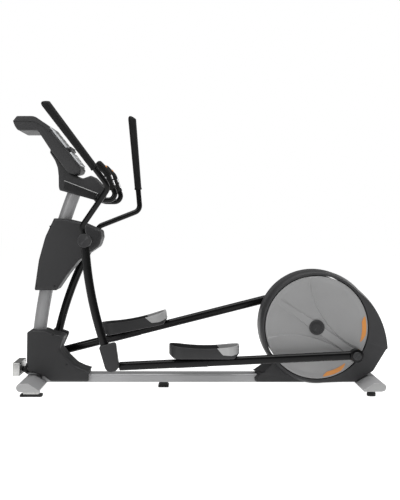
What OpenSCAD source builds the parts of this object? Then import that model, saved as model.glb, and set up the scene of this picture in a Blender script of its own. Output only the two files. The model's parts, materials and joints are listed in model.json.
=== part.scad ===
// Rear-drive elliptical trainer. Millimetres, +Z up, floor at Z = 0.
// +X runs towards the drive drum, -X towards the console, -Y is the user's left.

/* [Stride linkage] */
// Distance of the arm pivot ahead of the middle of the machine
arm_pivot_x = -634; // [-636:1:-632]
// Height of the arm pivot above the floor
arm_pivot_z = 848; // [846:1:850]
// Swing arm length from its pivot to the foot bar joint
arm_len = 701; // [698:1:704]
// Distance of the crank shaft behind the middle of the machine
hub_x = 663; // [661:1:665]
// Height of the crank shaft above the floor
hub_z = 354; // [352:1:356]
// Crank radius, half of the stride
crank_r = 257; // [254:1:260]
// Foot bar length from the front joint to the crank pin
bar_len = 1359; // [1356:1:1362]
// Angle of the left crank pin above the rearward horizontal
crank_deg = -35; // [-38:1:-32]

/* [Swing arms] */
// Distance of each swing arm from the middle plane
arm_y = 250; // [248:1:252]
// Outer diameter of the lower arm tube
arm_tube_d = 48; // [46:1:50]
// How far the lower tube bows forward between its ends
arm_bow = 30; // [26:1:34]
// Outer diameter of the upper handle tube
handle_tube_d = 31.8; // [30:0.1:33]
// Grip diameter at the top of the handle
grip_top_d = 49; // [46:1:50]
// Grip diameter at the bottom of the handle
grip_low_d = 41; // [39:1:44]

/* [Foot bars and pedals] */
// Distance of each foot bar from the middle plane
bar_y = 188; // [187:1:189]
// Width of the foot bar section
bar_w = 44; // [42:1:44]
// Height of the foot bar section
bar_h = 48; // [46:1:50]
// Length of each pedal
pedal_len = 395; // [390:1:400]
// Width of each pedal
pedal_w = 168; // [164:1:170]
// Wall thickness of the pedal tray
pedal_wall = 7; // [6:0.5:9]

/* [Base frame] */
// Width of the base rail
rail_w = 110; // [106:1:112]
// Height of the base rail's underside
rail_z0 = 33; // [32:1:34]
// Height of the base rail's top
rail_z1 = 79; // [78:1:79]
// Half length of each stabilizer across the machine
stabilizer_y = 330; // [320:1:332]
// Mast tube outer diameter
mast_d = 76; // [74:1:76]
// Wall thickness of the mast and stabilizer tubes
tube_wall = 3; // [2.5:0.5:4]

/* [Covers] */
// Wall thickness of the moulded covers
skin = 4; // [3:0.5:5]
// Half width of the front cover
front_cover_y = 90; // [86:1:92]
// Half width of the middle cover
mid_cover_y = 100; // [96:1:102]
// Half width of the drum cover
drum_cover_y = 122; // [122:1:122]
// Radius of the drum cover about the crank shaft
drum_r = 322; // [320:1:324]
// Radius of each crank disc
disc_r = 290; // [288:1:291]
// Half width of the console
console_y = 178; // [170:1:185]

/* [Hidden] */
$fn = 64;

// Left is the -Y side, right the +Y side
left = -1;
right = 1;

// Clearances: a shaft in its bore, and parts that only pass each other
run_gap = 0.05;
pass_gap = 0.5;

// Mast curve: an arc of large radius that leans back towards the console
mast_arc_r = 3276;
mast_arc_c = [2329, -68];
mast_lean_low = 3.85;
mast_lean_high = 22;

// Swing arm pivot hub and lower joint
axle_r = 14;
arm_hub_r = 35;
arm_hub_w = 62;
joint_pin_r = 10;
joint_hub_r = 22;
casing_w = 50;
bar_drop = 20;
bar_front = 34;
bar_plug = 8;
bar_housing_r = 37;
pedal_tilt = 1.9;

// Crank shaft stack across the machine, each as a distance from the middle plane
crank_arm_y0 = 94;
crank_arm_y1 = 110;
disc_y0 = 112;
disc_y1 = 121;
pin_boss_y = 140;
bar_y0 = bar_y - bar_w / 2;
bar_y1 = bar_y + bar_w / 2;
crank_pin_r = 12;
pin_boss_r = 20;

// Belt drive inside the drum cover
pulley_r = 200;
small_pulley_r = 30;
belt_t = 3;
belt_w = 20;
belt_gap = 0.4;
flywheel_x = 930;
flywheel_z = 200;
flywheel_r = 85;
flywheel_axle_r = 8;
bearing_r = 31;
crank_shaft_r = 15;

// Positions in the side view, [x, z]
pivot = [arm_pivot_x, arm_pivot_z];
hub = [hub_x, hub_z];
left_pin = hub + crank_r * [cos(crank_deg), sin(crank_deg)];
right_pin = hub - crank_r * [cos(crank_deg), sin(crank_deg)];

// The lower of the two points at arm_len from the pivot and bar_len from a crank pin
function joint_for(pin) =
    let (span = pin - pivot, d = norm(span), u = span / d,
         along = (arm_len * arm_len - bar_len * bar_len + d * d) / (2 * d),
         off = sqrt(arm_len * arm_len - along * along))
    pivot + along * u + off * [u.y, -u.x];
left_joint = joint_for(left_pin);
right_joint = joint_for(right_pin);
// Turn about +Y that hangs an arm from the pivot to its joint
function arm_turn(joint) = -atan2(joint.x - pivot.x, pivot.y - joint.y);
// Turn about +Y that lays a bar from its joint to its crank pin
function bar_turn(joint, pin) = -atan2(pin.y - joint.y, pin.x - joint.x);

// ---- outlines and paths -------------------------------------------------------------

function unit(v) = v / norm(v);
function flat(p) = [p.x, p.y];

// Points of an arc about c, from angle a0 to a1
function arc(c, r, a0, a1, n = 12) =
    [for (i = [0:n]) let (a = a0 + (a1 - a0) * i / n) c + r * [cos(a), sin(a)]];

// Points that round the corner p1 between its neighbours
function corner(p0, p1, p2, r, n = 6) =
    r == 0 ? [p1] :
    let (a = unit(p0 - p1), b = unit(p2 - p1), half = acos(a * b) / 2,
         c = p1 + unit(a + b) * r / sin(half),
         s = p1 + a * r / tan(half) - c, e = p1 + b * r / tan(half) - c,
         start = atan2(s.y, s.x), turn = atan2(s.x * e.y - s.y * e.x, s * e))
    [for (i = [0:n]) c + r * [cos(start + turn * i / n), sin(start + turn * i / n)]];

// Closed outline from corners [x, z, corner radius]
function rounded(pts) =
    let (n = len(pts))
    [for (i = [0:n - 1])
        each corner(flat(pts[(i + n - 1) % n]), flat(pts[i]), flat(pts[(i + 1) % n]), pts[i].z)];

// Extrudes a side-view outline [x, z] across the machine from y0 to y1
module slab(y0, y1) {
    translate([0, y1, 0]) rotate([90, 0, 0]) linear_extrude(height = y1 - y0) children();
}

// Cylinder along Y at side-view point p
module across(p, y0, y1, r) {
    translate([p.x, y0, p.y]) rotate([-90, 0, 0]) cylinder(r = r, h = y1 - y0);
}

// Mirrors its children to both sides, or to one side
module both_sides() { children(); mirror([0, 1, 0]) children(); }
module on_side(side) { if (side == left) mirror([0, 1, 0]) children(); else children(); }

// Tube section: a ring, or a disc where wall is 0
module ring(r, wall) {
    difference() {
        circle(r = r);
        if (wall > 0) circle(r = r - wall);
    }
}

// Points of a bend of radius bend_r at the path corner p1
function bend_points(p0, p1, p2, bend_r, n = 5) =
    let (a = unit(p0 - p1), b = unit(p2 - p1), half = acos(a * b) / 2,
         c = p1 + unit(a + b) * bend_r / sin(half), start = p1 + a * bend_r / tan(half) - c)
    [for (i = [0:n]) let (turn = (180 - 2 * half) * i / n)
        c + cos(turn) * start - sin(turn) * bend_r * a];

// Path of straight runs joined by bends
function bent_path(pts, bend_r) =
    let (last = len(pts) - 1)
    [pts[0], for (i = [1:last - 1]) each bend_points(pts[i - 1], pts[i], pts[i + 1], bend_r),
     pts[last]];

// Ring of points of radius r about each point of a path; ref is never along the path
function ring_points(path, i, r, ref, sides) =
    let (last = len(path) - 1,
         d = unit(path[min(i + 1, last)] - path[max(i - 1, 0)]),
         u = unit(ref - (ref * d) * d), v = cross(d, u))
    [for (k = [0:sides - 1]) let (a = 360 * k / sides) path[i] + r * (cos(a) * u + sin(a) * v)];

// Hollow tube swept along a path
module bent_tube(pts, bend_r, r, wall, ref, sides = 16) {
    path = bent_path(pts, bend_r);
    n = len(path);
    skin_points = n * sides;
    points = [
        for (i = [0:n - 1]) each ring_points(path, i, r, ref, sides),
        for (i = [0:n - 1]) each ring_points(path, i, r - wall, ref, sides)
    ];
    quads = [for (i = [0:n - 2]) for (k = [0:sides - 1])
        let (m = (k + 1) % sides, a = i * sides) [a + k, a + m, a + sides + m, a + sides + k]];
    function inner(q) = [for (j = [3:-1:0]) q[j] + skin_points];
    end_quads = [for (k = [0:sides - 1]) let (m = (k + 1) % sides, e = (n - 1) * sides) each [
        [m, k, k + skin_points, m + skin_points],
        [e + k, e + m, e + m + skin_points, e + k + skin_points]
    ]];
    faces = [for (q = concat(quads, [for (q = quads) inner(q)], end_quads)) each
        [[q[0], q[2], q[1]], [q[0], q[3], q[2]]]];
    polyhedron(points = points, faces = faces, convexity = 4);
}

// ---- base frame ---------------------------------------------------------------------

// Stabilizer section, nose forward: flat below, crowned above
nose_r = 22;
crown_r = 32;
tail_r = 6;
stab_z0 = 27;
stab_nose_x = 976;
module stabilizer_section() {
    intersection() {
        hull() {
            translate([-stab_nose_x, 50]) circle(r = nose_r);
            translate([-945, 43]) circle(r = crown_r);
            translate([-880, stab_z0 + tail_r]) circle(r = tail_r);
        }
        translate([-1000, stab_z0]) square([130, 60]);
    }
}
rear_stab_x = 12;
rear_stab_lift = 3;
module rear_section() {
    translate([rear_stab_x, rear_stab_lift]) mirror([1, 0]) stabilizer_section();
}
module front_stabilizer() {
    color("silver") slab(-stabilizer_y, stabilizer_y) difference() {
        stabilizer_section();
        offset(delta = -tube_wall) stabilizer_section();
    }
}
module rear_stabilizer() {
    color("silver") slab(-stabilizer_y, stabilizer_y) difference() {
        rear_section();
        offset(delta = -tube_wall) rear_section();
    }
}
end_cap_t = 10;
module stabilizer_end_caps() {
    color("gainsboro") both_sides() {
        slab(stabilizer_y, stabilizer_y + end_cap_t) stabilizer_section();
        slab(stabilizer_y, stabilizer_y + end_cap_t) rear_section();
    }
}

// Rail outline across the machine, rounded on its top edges
rail_edge_r = 10;
module rail_section(inset) {
    half = rail_w / 2 - inset;
    polygon(rounded([
        [-half, rail_z0 + inset, 0], [half, rail_z0 + inset, 0],
        [half, rail_z1 - inset, rail_edge_r], [-half, rail_z1 - inset, rail_edge_r]
    ]));
}
rail_x0 = -900;
rail_x1 = 915;
mast_plate_z = 76;
mast_plate_t = 8;
module base_rail() {
    color("silver") {
        difference() {
            translate([rail_x0, 0, 0]) rotate([90, 0, 90])
                linear_extrude(height = rail_x1 - rail_x0) difference() {
                    rail_section(0);
                    rail_section(tube_wall);
                }
            slab(-rail_w, rail_w) stabilizer_section();
            slab(-rail_w, rail_w) rear_section();
        }
        // Foot plate and post that carry the mast
        translate([-988, -50, mast_plate_z]) cube([130, 100, mast_plate_t]);
        mast_post(0);
    }
}
// Leaning post inside the mast's lower end, with a wider band that the mast sits on
post_foot = [-943.7, 80];
post_top = [-928, 285];
post_r = 30;
post_band_r = 33;
post_band_z = 130;
post_band_h = 40;
module mast_post(grow) {
    rise = post_top - post_foot;
    translate([post_foot.x, 0, post_foot.y]) rotate([0, atan2(rise.x, rise.y), 0]) {
        cylinder(r = post_r + grow, h = norm(rise));
        translate([0, 0, post_band_z]) cylinder(r = post_band_r + grow, h = post_band_h);
    }
}

// Part of the mast's arc between two lean angles
module mast_arc(r, wall, lean0, lean1) {
    translate([mast_arc_c.x, 0, mast_arc_c.y]) rotate([90, 0, 0]) rotate([0, 0, 180 - lean1])
        rotate_extrude(angle = lean1 - lean0, $fn = 360)
            translate([mast_arc_r, 0]) ring(r, wall);
}
module mast() {
    color("silver") mast_arc(mast_d / 2, tube_wall, mast_lean_low, mast_lean_high);
}

foot_x = -920;
foot_y = 300;
module front_feet() {
    color("dimgray") both_sides() {
        translate([foot_x - 60, foot_y - 32, 0]) cube([120, 64, 12]);
        translate([foot_x - 45, foot_y - 24, 12]) cube([90, 48, stab_z0 - 12]);
    }
}
rear_foot_x = 937;
rear_foot_y = 290;
module rear_feet() {
    color("black") both_sides() translate([rear_foot_x, rear_foot_y, 0]) {
        cylinder(r = 24, h = 22);
        cylinder(r = 6, h = stab_z0 + rear_stab_lift);
    }
}
centre_foot_x = -207;
module centre_foot() {
    color("dimgray") {
        translate([centre_foot_x - 30, -45, 0]) cube([60, 90, 13]);
        translate([centre_foot_x - 25, -40, 13]) cube([50, 80, rail_z0 - 13]);
    }
}

// ---- arm pivot ----------------------------------------------------------------------

axle_end_y = arm_y + arm_hub_w / 2 - 2;
cross_tube_r = 26;
// Two side plates that carry the cross tube of the arm pivot behind the mast
module pivot_frame() {
    color("dimgray") difference() {
        union() {
            both_sides() slab(mast_d / 2 + 0.5, mast_d / 2 + 8) polygon(rounded([
                [-868, 800, 8], [-790, 790, 20], [-634, 815, 30], [-600, 848, 30],
                [-634, 882, 30], [-760, 905, 20], [-840, 905, 8]
            ]));
            across(pivot, -mid_cover_y + 10, mid_cover_y - 10, cross_tube_r);
        }
        across(pivot, -200, 200, axle_r);
    }
}
module arm_pivot_axle() {
    color("lightgray") {
        across(pivot, -axle_end_y, axle_end_y, axle_r);
        // Collars that keep each arm off the covers
        both_sides() difference() {
            across(pivot, mid_cover_y + 2, arm_y - arm_hub_w / 2 - pass_gap, 24);
            across(pivot, 90, arm_y, axle_r - 1);
        }
    }
}

// ---- front covers -------------------------------------------------------------------

function front_cover_outline() = rounded([
    [-962, 334, 16], [-984, 320, 12], [-986, 150, 20], [-978, 104, 10], [-936, 88, 20],
    [-885, 70, 20], [-848, 41, 6], [-635, 41, 4], [-635, 88, 4], [-628, 100, 3],
    [-668, 112, 20], [-710, 132, 60], [-762, 182, 60], [-797, 230, 12], [-776, 294, 10],
    [-800, 305, 20], [-850, 316, 40], [-884, 331, 30]
]);
module front_cover_half(side) {
    color("dimgray") on_side(side) difference() {
        slab(0, front_cover_y) polygon(front_cover_outline());
        slab(-1, front_cover_y - skin) offset(delta = -skin) polygon(front_cover_outline());
        // Ways out for the mast, its post and the rail
        mast_arc(mast_d / 2 + 1, 0, 4, 10);
        mast_post(1);
        translate([-700, -rail_w / 2 - 1, rail_z0 - 1])
            cube([100, rail_w + 2, rail_z1 - rail_z0 + 2]);
        translate([-700, -rail_w / 2 - 1, 30]) mirror([1, 0, 0]) cube([290, rail_w + 2, 56]);
    }
}
module front_shroud_left() { front_cover_half(left); }
module front_shroud_right() { front_cover_half(right); }

function mid_cover_outline() = rounded([
    [-829, 972, 8], [-760, 968, 60], [-660, 945, 60], [-561, 902, 18], [-556, 862, 30],
    [-572, 812, 40], [-640, 765, 60], [-690, 729, 60], [-757, 646, 100], [-815, 561, 8],
    [-941, 561, 8], [-916, 734, 200], [-880, 864, 200]
]);
module mid_cover_half(side) {
    color("dimgray") on_side(side) difference() {
        slab(0, mid_cover_y) polygon(mid_cover_outline());
        slab(-1, mid_cover_y - skin) offset(delta = -skin) polygon(mid_cover_outline());
        mast_arc(mast_d / 2 + 1, 0, 8, 22);
        across(pivot, 0, mid_cover_y + 1, 27);
    }
}
module mid_shroud_left() { mid_cover_half(left); }
module mid_shroud_right() { mid_cover_half(right); }

// Junction box ahead of the front cover, on its bracket
module connector_box() {
    color("silver") {
        translate([-1062, -105, 75]) cube([40, 210, 74]);
        translate([-1022, -50, 104]) cube([34, 100, 4]);
        translate([-992, -50, mast_plate_z]) cube([4, 100, 64]);
        translate([-1070, 30, 112]) rotate([0, 90, 0]) cylinder(r = 4, h = 10);
    }
}

// ---- console and boom ---------------------------------------------------------------

// The back of the console, which the neck meets with a fine joint line
back_top = [-912, 1466];
back_bend = [-837, 1355];
back_low = [-735, 1230];
// The rear housing: a hood that rolls forward, and a slope behind the screens
function console_outline() = rounded([
    [-1050, 1515, 4], [-1026, 1543, 14], [-928, 1543, 60], [-861, 1497, 40],
    [-661, 1253, 12], [-668, 1229, 14], [-700, 1220, 8], [back_low.x, back_low.y, 6],
    [back_bend.x, back_bend.y, 0], [back_top.x, back_top.y, 14], [-1024, 1466, 22],
    [-1040, 1490, 10]
]);
// The bezel covers the slope that faces the user
slope_a = [-861, 1497];
slope_b = [-661, 1253];
slope_dir = unit(slope_b - slope_a);
slope_in = [slope_dir.y, -slope_dir.x];
bezel_t = 14;
function on_slope(along, depth) = slope_a + along * slope_dir + depth * slope_in;
module bezel_zone(depth0, depth1, from, to) {
    polygon([on_slope(from, depth0), on_slope(to, depth0), on_slope(to, depth1),
             on_slope(from, depth1)]);
}
slope_len = norm(slope_b - slope_a);
module console_back() {
    color("dimgray") difference() {
        slab(-console_y, console_y) polygon(console_outline());
        slab(-console_y + skin, console_y - skin) difference() {
            offset(delta = -skin) polygon(console_outline());
            translate([-860, 1180]) square([220, 110]);
        }
        slab(-console_y - 1, console_y + 1) bezel_zone(-20, bezel_t, 12, slope_len - 12);
    }
}
upper_from = 20;
upper_to = 168;
lower_from = 206;
lower_to = 292;
lens_t = 5;
module console_bezel() {
    color("dimgray") difference() {
        union() {
            slab(-console_y, console_y) bezel_zone(0, bezel_t, 12, slope_len - 12);
            // Reading rack ledge between the two panels
            slab(-console_y + 20, console_y - 20) bezel_zone(-22, 0, 176, 194);
        }
        slab(-console_y + 22, console_y - 22) bezel_zone(-1, lens_t, upper_from, upper_to);
        slab(-console_y + 40, console_y - 40) bezel_zone(-1, lens_t, lower_from, lower_to);
    }
}
module upper_display() {
    color("gainsboro")
        slab(-console_y + 22, console_y - 22) bezel_zone(0, lens_t, upper_from, upper_to);
}
module lower_keypad() {
    color("gainsboro")
        slab(-console_y + 40, console_y - 40) bezel_zone(0, lens_t, lower_from, lower_to);
}

// Boom and neck that tie the mast, the console and the fixed handlebars together
boom_y = 64;
neck_gap = [-1, -1];
function boom_outline() = let (bend = back_bend + neck_gap, low = back_low + neck_gap) rounded([
    [-844, 1363, 0], [-855, 1363, 4], [-857, 1348, 6], [-829, 1304, 60], [-813, 1262, 80],
    [-808, 1215, 60], [-807, 1150, 60], [-802, 1132, 8], [-684, 1099, 60], [-575, 1068, 20],
    [-539, 1100, 30], [-545, 1152, 24], [-597, 1206, 20], [-622, 1217, 16], [-668, 1200, 20],
    [-717, 1221, 2], [low.x, low.y, 0], [bend.x, bend.y, 0]
]);
handle_root = [-585, 0, 1096];
module boom_half(side) {
    color("dimgray") on_side(side) difference() {
        slab(0, boom_y) polygon(boom_outline());
        slab(-1, boom_y - skin) offset(delta = -skin) polygon(boom_outline());
        mast_arc(mast_d / 2 + 1, 0, 20, 23);
        across([handle_root.x, handle_root.z], 0, boom_y + 1, fixed_bar_r + 1);
    }
}
module boom_left() { boom_half(left); }
module boom_right() { boom_half(right); }

// Fixed handlebar: across the boom, out, back, and up into a forward-leaning grip
fixed_bar_r = 15;
fixed_bar_y = 214;
fixed_bend_r = 36;
fixed_low = [-575, fixed_bar_y, 1072];
fixed_back = [-452, fixed_bar_y, 1072];
fixed_top = [-560, fixed_bar_y, 1286];
grip_dir = unit(fixed_top - fixed_back);
grip_from = fixed_top - 148 * grip_dir;
grip_turn = atan2(grip_dir.x, grip_dir.z);
fixed_half = [handle_root + [0, 70, 0], fixed_low, fixed_back, fixed_top - 4 * grip_dir];
module fixed_handlebars() {
    color("black") both_sides()
        bent_tube(concat([handle_root], fixed_half), fixed_bend_r, fixed_bar_r, 2.5, [1, -1, -1]);
}
fixed_grip_r = 18.5;
button_z = 104;
button_r = 8;
module grip_frame() {
    translate(grip_from) rotate([0, grip_turn, 0]) children();
}
module fixed_grips() {
    color("black") both_sides() difference() {
        grip_frame() {
            cylinder(r = fixed_grip_r, h = 148);
            translate([0, 0, 148]) sphere(r = fixed_grip_r);
        }
        grip_frame() translate([0, 0, -1]) cylinder(r = fixed_bar_r, h = 145);
        // Socket for the thumb button
        grip_frame() translate([fixed_bar_r + 0.2, 0, button_z]) rotate([0, 90, 0])
            cylinder(r = button_r + 0.4, h = 10);
    }
}
module thumb_button(side) {
    color("orange") on_side(side) grip_frame()
        translate([fixed_bar_r + 1.9, 0, button_z]) rotate([0, 90, 0])
            cylinder(r = button_r, h = 4);
}
module left_thumb_button() { thumb_button(left); }
module right_thumb_button() { thumb_button(right); }

// ---- swing arms ---------------------------------------------------------------------

// Places an arm drawn hanging straight down from the origin, on the +Y side
module at_arm(side) {
    joint = side == left ? left_joint : right_joint;
    on_side(side) translate([pivot.x, 0, pivot.y]) rotate([0, arm_turn(joint), 0]) children();
}
bow_r = (arm_len * arm_len / 4 + arm_bow * arm_bow) / (2 * arm_bow);
bow_half = asin(arm_len / 2 / bow_r);
// Bowed lower tube, cut short of both joints by these angles of its arc
bow_trim_top = 0.55;
bow_trim_low = 0.33;
module bowed_tube(r, wall) {
    translate([bow_r - arm_bow, arm_y, -arm_len / 2]) rotate([90, 0, 0])
        rotate([0, 0, 180 - bow_half + bow_trim_top])
            rotate_extrude(angle = 2 * bow_half - bow_trim_top - bow_trim_low, $fn = 360)
            translate([bow_r, 0]) ring(r, wall);
}
module arm_tube(side) {
    color("black") at_arm(side) difference() {
        union() {
            difference() {
                bowed_tube(arm_tube_d / 2, tube_wall);
                across([0, 0], arm_y - 40, arm_y + 40, arm_hub_r - 1);
                across([0, -arm_len], arm_y - 40, arm_y + 40, joint_hub_r - 1);
            }
            across([0, 0], arm_y - arm_hub_w / 2, arm_y + arm_hub_w / 2, arm_hub_r);
            across([0, -arm_len], arm_y - 31, arm_y + 20, joint_hub_r);
        }
        across([0, 0], arm_y - 60, arm_y + 60, axle_r + run_gap);
        across([0, -arm_len], arm_y - 60, arm_y + 60, joint_pin_r + run_gap);
        // Socket for the handle tube
        translate([0, arm_y, 22]) cylinder(r = handle_tube_d / 2, h = 30);
    }
}
module left_arm_tube() { arm_tube(left); }
module right_arm_tube() { arm_tube(right); }

pivot_cap_r = 38;
module pivot_cap(side) {
    color("dimgray") at_arm(side)
        across([0, 0], arm_y + arm_hub_w / 2, arm_y + arm_hub_w / 2 + 8, pivot_cap_r);
}
module left_pivot_cap() { pivot_cap(left); }
module right_pivot_cap() { pivot_cap(right); }

// Handle tube: up from the hub, back and out to the elbow, then up and forward to the grip
grip_start = [144, 330, 373];
grip_end = [-48, 346, 791];
handle_rise = [0, arm_y, 80];
handle_bend_r = 45;
handle_dir = unit(grip_end - grip_start);
handle_drop = 129;
handle_elbow = grip_start - handle_drop * handle_dir;
handle_run = norm(grip_end - grip_start);
module handle_tube(side) {
    color("black") at_arm(side)
        bent_tube([[0, arm_y, 22], handle_rise, handle_elbow,
                   grip_start + handle_dir * (handle_run - 30)],
                  handle_bend_r, handle_tube_d / 2, 2.5, [0, 1, 0]);
}
module left_handle_tube() { handle_tube(left); }
module right_handle_tube() { handle_tube(right); }

// Grip: a sleeve that widens towards a slanted, rounded tip
module handle_grip(side) {
    color("black") at_arm(side) translate(grip_start)
        rotate([0, acos(handle_dir.z), atan2(handle_dir.y, handle_dir.x)]) difference() {
            union() {
                cylinder(r1 = grip_low_d / 2, r2 = grip_top_d / 2, h = handle_run - grip_top_d / 2);
                translate([0, 0, handle_run - grip_top_d / 2]) sphere(r = grip_top_d / 2);
            }
            translate([0, 0, -1]) cylinder(r = handle_tube_d / 2, h = handle_run - 29);
        }
}
module left_handle_grip() { handle_grip(left); }
module right_handle_grip() { handle_grip(right); }

// Plastic casing over the lower joint
casing_r = 36;
casing_top = 118;
module joint_casing(side) {
    color("dimgray") at_arm(side) difference() {
        slab(arm_y - 14, arm_y - 14 + casing_w) translate([0, -arm_len]) polygon(concat(
            arc([0, 0], casing_r, -165, -15), rounded([[48, casing_top, 14], [-48, casing_top, 14],
            [-36, 0, 0]])));
        bowed_tube(arm_tube_d / 2, 0);
        across([0, -arm_len], arm_y - 30, arm_y + 20, joint_hub_r);
        across([0, -arm_len], arm_y - 30, arm_y + 26, joint_pin_r + 2);
    }
}
module left_joint_casing() { joint_casing(left); }
module right_joint_casing() { joint_casing(right); }

// ---- foot bars and pedals -----------------------------------------------------------

// Places a bar drawn along +X from its front joint at the origin, on the +Y side
module at_bar(side) {
    joint = side == left ? left_joint : right_joint;
    pin = side == left ? left_pin : right_pin;
    on_side(side) translate([joint.x, 0, joint.y]) rotate([0, bar_turn(joint, pin), 0]) children();
}
bar_corner_r = 18;
function bar_section(inset) =
    let (w = bar_w / 2 - inset, h = bar_h / 2 - inset, r = bar_corner_r - inset)
    rounded([[-w, -h, r], [w, -h, r], [w, h, r], [-w, h, r]]);
bar_sink = asin(bar_drop / bar_len);
// Runs its children along the bar's own centreline, from x0 to x1
module along_bar(x0, x1) {
    translate([bar_len, bar_y, 0]) rotate([0, -bar_sink, 0])
        translate([x0 - bar_len, 0, 0]) rotate([90, 0, 90])
            linear_extrude(height = x1 - x0) children();
}
pin_housing_y0 = bar_y0 + 1;
// Where the bar's end is buried in the pin housing's wall, and where its hollow stops
bar_weld = 24;
bar_solid_end = 60;
drain_from_end = 100;
drain_r = 2.5;
pin_housing_y1 = 225;
// Solid end of the pin housing beyond its bearing seat
housing_end_t = 8;
module foot_bar(side) {
    color("black") at_bar(side) difference() {
        union() {
            difference() {
                along_bar(bar_front, bar_len - bar_weld) polygon(bar_section(0));
                along_bar(bar_front + bar_plug, bar_len - bar_solid_end) polygon(bar_section(tube_wall));
                // Drain hole
                translate([bar_len - drain_from_end, bar_y, -bar_h]) cylinder(r = drain_r, h = bar_h);
            }
            along_bar(10, bar_front + bar_plug / 2) translate([-15, -8]) square([30, 24]);
            across([0, 0], bar_y0, bar_y1 + 2, 20);
            across([bar_len, 0], pin_housing_y0, pin_housing_y1, bar_housing_r);
        }
        across([0, 0], bar_y0 - 1, bar_y1 + 5, joint_pin_r);
        // Bearing seat that opens towards the crank
        across([bar_len, 0], pin_housing_y0 - 1, pin_housing_y1 - housing_end_t, crank_pin_r + 4);
    }
}
module left_foot_bar() { foot_bar(left); }
module right_foot_bar() { foot_bar(right); }
module joint_pin(side) {
    color("lightgray") at_bar(side) across([0, 0], bar_y0, arm_y + 22, joint_pin_r);
}
module left_joint_pin() { joint_pin(left); }
module right_joint_pin() { joint_pin(right); }
module crank_cap(side) {
    color("dimgray") at_bar(side) across([bar_len, 0], pin_housing_y1, pin_housing_y1 + 9, 23);
}
module left_crank_cap() { crank_cap(left); }
module right_crank_cap() { crank_cap(right); }

// Pedal drawn flat: length along X from 0, width about Y = 0, underside at Z = 0
pedal_x = 312;
pedal_z = 16;
pedal_y = 150;
pedal_end_z = 77;
pedal_mid_z = 59;
pedal_floor = 14;
module pedal_plan(inset) {
    hull() {
        for (y = [-1, 1]) {
            translate([78, y * (pedal_w / 2 - 74)]) circle(r = 76 - inset);
            translate([pedal_len - 70, y * (pedal_w / 2 - 68)]) circle(r = 70 - inset);
        }
    }
}
module at_pedal(side) {
    at_bar(side) translate([pedal_x, pedal_y, pedal_z]) rotate([0, pedal_tilt, 0]) children();
}
dip = pedal_end_z - pedal_mid_z;
dip_r = (pedal_len * pedal_len / 4 + dip * dip) / (2 * dip);
module pedal_body() {
    difference() {
        intersection() {
            linear_extrude(height = pedal_end_z) pedal_plan(0);
            slab(-200, 200) polygon([[30, 0], [pedal_len - 20, 0], [pedal_len, 22],
                [pedal_len, 100], [0, 100], [0, 22]]);
        }
        translate([0, 0, pedal_floor]) linear_extrude(height = 100) pedal_plan(pedal_wall);
        across([pedal_len / 2 + 10, pedal_mid_z + dip_r], -200, 200, dip_r, $fn = 360);
    }
}
// Zone of the light trim that wraps the heel end of the wall
module heel_zone() {
    slab(-pedal_w, pedal_w) polygon([[270, 120], [270, 47], [300, 24], [345, 20], [420, 32],
        [420, 120]]);
}
module pedal_shell(side) {
    color("dimgray") difference() {
        at_pedal(side) difference() {
            pedal_body();
            heel_zone();
        }
        at_bar(side) along_bar(200, 800) offset(delta = pass_gap) polygon(bar_section(0));
    }
}
module left_pedal_shell() { pedal_shell(left); }
module right_pedal_shell() { pedal_shell(right); }
module heel_trim(side) {
    color("lightgray") at_pedal(side) intersection() {
        pedal_body();
        heel_zone();
    }
}
module left_heel_trim() { heel_trim(left); }
module right_heel_trim() { heel_trim(right); }
mat_t = 4;
module pedal_mat(side) {
    color("black") at_pedal(side) translate([0, 0, pedal_floor])
        linear_extrude(height = mat_t) pedal_plan(pedal_wall + 1);
}
module left_pedal_mat() { pedal_mat(left); }
module right_pedal_mat() { pedal_mat(right); }

// ---- crank and drive ----------------------------------------------------------------

module crank_axle() {
    color("lightgray") across(hub, -crank_arm_y1, crank_arm_y1, crank_shaft_r);
}
// Crank arms turned to their pins, each with a boss and pin that reach for the bar
module crank_arms() {
    color("dimgray") for (side = [left, right]) {
        pin = side == left ? left_pin : right_pin;
        on_side(side) difference() {
            union() {
                slab(crank_arm_y0, crank_arm_y1) hull() {
                    translate(hub) circle(r = 32);
                    translate(pin) circle(r = 26);
                }
                across(pin, crank_arm_y0, pin_boss_y, pin_boss_r);
                across(pin, crank_arm_y0, bar_y0 - pass_gap, crank_pin_r);
            }
            across(hub, 0, 200, crank_shaft_r);
        }
    }
}
module crank_discs() {
    color("gray") for (side = [left, right]) {
        pin = side == left ? left_pin : right_pin;
        on_side(side) difference() {
            across(hub, disc_y0, disc_y1, disc_r, $fn = 180);
            across(pin, disc_y0 - 1, disc_y1 + 5, pin_boss_r + 0.5);
        }
    }
}
hub_cap_r = 43;
module hub_caps() {
    color("dimgray") both_sides() {
        across(hub, disc_y1, disc_y1 + 8, hub_cap_r);
        across(hub, disc_y1 + 8, disc_y1 + 11, 28);
    }
}
// Two curved inlays on each disc, one each side of the pin
accent_r0 = 257;
accent_r1 = 281;
accent_near = 10;
accent_far = 48;
module accent_arcs() {
    color("orange") for (side = [left, right]) {
        pin = side == left ? crank_deg : crank_deg + 180;
        on_side(side) translate([hub.x, disc_y1 + 1.5, hub.y]) rotate([90, 0, 0])
            for (start = [accent_near, -accent_far])
                rotate([0, 0, pin + start])
                    rotate_extrude(angle = accent_far - accent_near, $fn = 180)
                        translate([accent_r0, 0]) square([accent_r1 - accent_r0, 1.5]);
    }
}

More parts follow.
